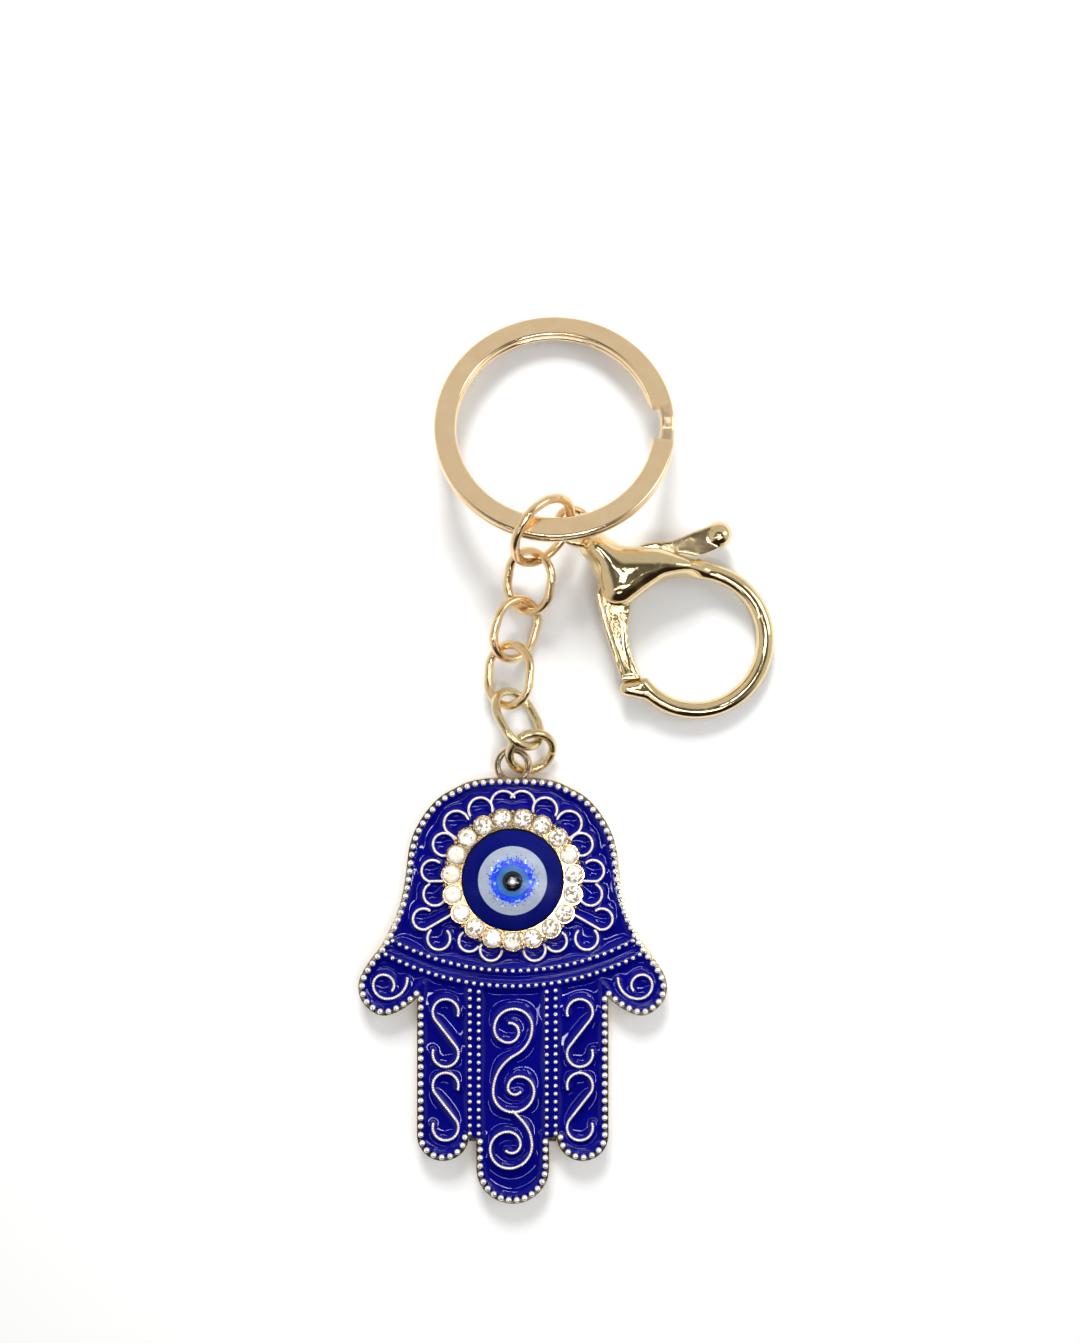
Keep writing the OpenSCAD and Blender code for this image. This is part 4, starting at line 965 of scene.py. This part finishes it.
def buildBlackGlass(name):
    values = eyeFinishes[name]
    material, tree, shader = newMaterial(name)
    radius, uneven = radiusNodes(tree, objectPlace(tree), values)
    colour = mixColours(tree, rampNode(tree, uneven, *values["edge"]), *values["tones"])
    # a painted highlight: a grey halo, and a pale spot in the middle
    paintedHalo = rampNode(tree, uneven, *values["paintedHalo"], values["paintedHaloShare"], 0, smooth=True)
    colour = mixColours(tree, paintedHalo, colour, values["paintedHaloTone"])
    seed = rampNode(tree, uneven, *values["seed"], 1, 0, smooth=True)
    setInputs(tree, shader, {
        "Base Color": mixColours(tree, seed, colour, values["paintedPupilGlintTone"]),
        "Roughness": rampNode(tree, radius, *values["polish"], *values["roughness"])})
    return material


def lathe(name, profile, sides):
    # a closed turned piece from its outline, from the axis at the bottom to the axis at the top
    vertices = [(0, 0, profile[0][1])]
    for radius, height in profile[1:-1]:
        vertices += ringOf(sides, radius, height)
    vertices.append((0, 0, profile[-1][1]))
    last = len(vertices) - 1
    faces = []
    for k in range(sides):
        n = (k + 1) % sides
        faces.append((0, 1 + n, 1 + k))
        faces += [(base + k, base + n, base + sides + n, base + sides + k)
                  for base in range(1, last - sides, sides)]
        faces.append((last - sides + k, last - sides + n, last))
    mesh = newMesh(name, vertices, [], faces, mm)
    mesh.polygons.foreach_set("use_smooth", [True] * len(faces))
    return newObject(name, mesh)


# the black bead in the middle, in millimetres: its dome rises from the shoulder
pupil = {"radius": 1.24, "footShare": 0.98, "seat": 3.9, "shoulder": 4.22, "top": 4.62, "sides": 64,
         "rows": 14, "lastAngle": 0.08}


def buildPupil():
    radius, shoulder, rise = pupil["radius"], pupil["shoulder"], pupil["top"] - pupil["shoulder"]
    dome = [(radius * math.sin(a), shoulder + rise * math.cos(a))
            for a in np.linspace(math.pi / 2, pupil["lastAngle"], pupil["rows"])]
    foot = [(0, pupil["seat"]), (radius * pupil["footShare"], pupil["seat"])]
    return lathe("pupilBead", foot + dome + [(0, pupil["top"])], pupil["sides"])


dress("eye_base", buildCloudedGlass("eyeNavy", edgePattern))
dress("eye_white", buildCloudedGlass("eyeWhite", frostPattern))
dress("eye_blue", buildFlakeGlass("eyeBlue"))
dress("eye_light_blue", buildCloudedGlass("eyeLightBlue", edgePattern))
pupilBead = buildPupil()
pupilBead.data.materials.append(buildBlackGlass("eyeBlack"))
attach(pupilBead, "hand")
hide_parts("eye_pupil")
report("eye built")

# clasp

# sizes in metres: the cell that a casting is recast in, how long it is polished all over, and how much
# of what that takes off is put back. The body's shoulder is full inside the near radius from the pin and
# fades out at the far one; it is polished longer, and its cheeks rise over a width from their outline to
# their heights above and below the pin's plane, all but a skin next to that. Their outline is found on
# a map of cells. The gate's face is sunk between its raised edges.
castings = [
    {"name": "claspCasting", "body": "clasp", "nodes": ["clasp_body", "clasp_pin"], "cell": 0.00013,
     "polish": 8, "swell": 0.00003,
     "shoulder": {"near": 0.0080, "far": 0.0125, "polish": 210, "width": 0.0031, "skin": 0.00115,
                  "skinRise": 3, "above": 0.0033, "below": 0.0027, "mapCell": 0.0002, "mapMargin": 30}},
    {"name": "leverCasting", "body": "lever", "nodes": ["clasp_lever"], "cell": 0.00011, "polish": 11,
     "swell": 0.00004, "gateFace": {"depth": 0.00007, "edge": 0.00034, "bandShare": 2, "slackShare": 0.2}},
]
leverHinge = next(j for j in frame["joints"] if j["name"] == "lever_hinge")
pinPlace = Vector(leverHinge["pos_m"])
pinAxis = Vector(leverHinge["axis"]).normalized()
hookPlace = Vector(next(m for m in frame["record"]["mounts"] if m["name"] == "clasp_hook")["pos_m"])
# metres and degrees: the hook's nose runs on under the gate's tip and thins to a blunt point there
nose = {"hook": 0.0087, "turns": (220.5, 228), "wire": 0.00104, "reach": 0.01466, "lean": 3.1, "tip": 0.00096,
        "spread": 0.00008}
# the body's shoulder reaches up to its swivel: two balls by their places from the pin and their radii
apex = [(0.0006, -0.0004, 0.0021), (-0.0034, 0.0030, 0.0020)]
# the ball on the lever's thumb end, and how far its middle lies inside the end
thumbBall = {"radius": 0.00165, "inside": 0.0012}


def held(value):
    return min(1.0, max(0.0, value))


def eased(value):
    # a share held between 0 and 1, with soft ends
    share = held(value)
    return share * share * (3 - 2 * share)


def nearestTree(points):
    tree = kdtree.KDTree(len(points))
    for i, point in enumerate(points):
        tree.insert(point, i)
    tree.balance()
    return tree


def addHull(shape, balls):
    # one rounded body stretched round a few balls
    hull = bmesh.new()
    for place, radius in balls:
        bmesh.ops.create_icosphere(hull, subdivisions=3, radius=radius, matrix=Matrix.Translation(place))
    made = bmesh.ops.convex_hull(hull, input=hull.verts)
    bmesh.ops.delete(hull, geom=made["geom_interior"] + made["geom_unused"], context="VERTS")
    mesh = meshOf(hull, "hull")
    shape.from_mesh(mesh)
    bpy.data.meshes.remove(mesh)


def onPinPlane(place):
    # the place moved straight up or down to the middle of the clasp's thickness
    return place - Vector((0, 0, (place - pinPlace).dot(pinAxis) / pinAxis.z))


def addBodyForms(shape):
    wire = [(onPinPlane(hookPlace + nose["hook"] * Vector((math.cos(turn), math.sin(turn), 0))), nose["wire"])
            for turn in map(math.radians, nose["turns"])]
    lean = math.radians(nose["lean"])
    end = onPinPlane(pinPlace + nose["reach"] * Vector((math.sin(lean), -math.cos(lean), 0)))
    spread = pinAxis * nose["spread"]
    addHull(shape, wire + [(end + spread, nose["tip"]), (end - spread, nose["tip"])])
    addHull(shape, [(onPinPlane(pinPlace + Vector((x, y, 0))), radius) for x, y, radius in apex])


def addThumbBall(shape):
    far = max((v.co for v in shape.verts if v.co.y > pinPlace.y), key=lambda co: (co - pinPlace).length)
    away = (far - pinPlace).normalized()
    addHull(shape, [(onPinPlane(far - away * thumbBall["inside"]), thumbBall["radius"])])


def joinedMesh(name, nodeNames):
    shape = bmesh.new()
    for nodeName in nodeNames:
        shape.from_mesh(nodes[nodeName].data)
    bmesh.ops.remove_doubles(shape, verts=shape.verts, dist=weld)
    if "clasp_body" in nodeNames:
        addBodyForms(shape)
    else:
        addThumbBall(shape)
    return meshOf(shape, name)


def flatTop(mesh, step=0.00005):
    # the direction that a plate's broad face looks in, its height that way, and points along its edge
    areas = {}
    for face in mesh.polygons:
        key = tuple(round(c, 2) for c in face.normal)
        if key[2] > 0:
            areas[key] = areas.get(key, 0) + face.area
    up = Vector(max(areas, key=areas.get)).normalized()
    up = sum((f.normal * f.area for f in mesh.polygons if f.normal.dot(up) > 0.999), Vector()).normalized()
    level = max(mesh.vertices[i].co.dot(up) for f in mesh.polygons if f.normal.dot(up) > 0.9999
                for i in f.vertices)
    shape = bmesh.new()
    shape.from_mesh(mesh)
    top = {f for f in shape.faces if all(abs(v.co.dot(up) - level) < flatness for v in f.verts)}
    points = []
    for edge in shape.edges:
        if sum(f in top for f in edge.link_faces) == 1:
            a, b = edge.verts[0].co.copy(), edge.verts[1].co.copy()
            count = max(1, int((b - a).length / step))
            points += [a.lerp(b, k / count) for k in range(count)]
    shape.free()
    return up, level, points


def sinkFace(mesh, top, depth, edge, bandShare, slackShare):
    # the middle of the gate's face lies lower than its rounded edge
    up, level, points = top
    tree = nearestTree(points)
    for vertex in mesh.vertices:
        below = level - vertex.co.dot(up)
        if vertex.co.y < pinPlace.y and abs(below) < depth * bandShare:
            share = eased((tree.find(vertex.co + up * below)[2] - edge) / edge)
            vertex.co -= up * max(0.0, depth * share - max(0.0, below - depth * slackShare) * share)


def roundShoulder(mesh, sizes):
    # the cheeks swell evenly from the outline of the body to their middle, on both sides
    cell = sizes["mapCell"]
    across = pinAxis.orthogonal().normalized()
    along = pinAxis.cross(across)
    cells = {tuple(int(round((v.co - pinPlace).dot(way) / cell)) for way in (across, along))
             for v in mesh.vertices}
    reach = int(sizes["far"] / cell) + sizes["mapMargin"]
    outside = nearestTree([(i * cell, j * cell, 0) for i in range(-reach, reach) for j in range(-reach, reach)
                           if (i, j) not in cells])
    for vertex in mesh.vertices:
        offset = vertex.co - pinPlace
        height = offset.dot(pinAxis)
        skin = held((abs(height) / sizes["skin"] - 1) * sizes["skinRise"])
        share = eased((sizes["far"] - offset.length) / (sizes["far"] - sizes["near"])) * skin
        if share > 0:
            inward = outside.find((offset.dot(across), offset.dot(along), 0))[2]
            curve = 1 - min(1.0, inward / sizes["width"])
            bulge = sizes["above"] if height > 0 else -sizes["below"]
            vertex.co += pinAxis * (bulge * math.sqrt(1 - curve * curve) - height) * share


def addPolish(piece, turns, group=""):
    polish = piece.modifiers.new("polish", "SMOOTH")
    polish.factor = 0.5
    polish.iterations = turns
    polish.vertex_group = group


def polishShoulder(piece, sizes):
    roundShoulder(piece.data, sizes)
    group = piece.vertex_groups.new(name="shoulder")
    for vertex in piece.data.vertices:
        far = ((vertex.co - pinPlace).length - sizes["near"]) / (sizes["far"] - sizes["near"])
        group.add([vertex.index], 1 - held(far), "REPLACE")
    addPolish(piece, sizes["polish"], "shoulder")


def buildCasting(sizes):
    # a casting's shape with its edges rounded, as polishing leaves them
    mesh = joinedMesh(sizes["name"], sizes["nodes"])
    top = flatTop(mesh) if "gateFace" in sizes else None
    piece = newObject(sizes["name"], mesh)
    recast = piece.modifiers.new("recast", "REMESH")
    recast.mode = "VOXEL"
    recast.voxel_size = sizes["cell"]
    evaluated(piece)
    if "shoulder" in sizes:
        polishShoulder(piece, sizes["shoulder"])
    addPolish(piece, sizes["polish"])
    swell = piece.modifiers.new("swell", "DISPLACE")
    swell.strength = sizes["swell"]
    swell.mid_level = 0.0
    finished = evaluated(piece)
    piece.vertex_groups.clear()
    if top:
        sinkFace(finished, top, **sizes["gateFace"])
    finished.polygons.foreach_set("use_smooth", [True] * len(finished.polygons))
    finished.materials.clear()
    finished.materials.append(goldMaterials["claspGold"])
    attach(piece, sizes["body"])
    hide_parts(*sizes["nodes"])
    report(f"{sizes['name']} polished, {len(finished.polygons)} faces")


for sizes in castings:
    buildCasting(sizes)

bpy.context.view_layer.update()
report("all built")
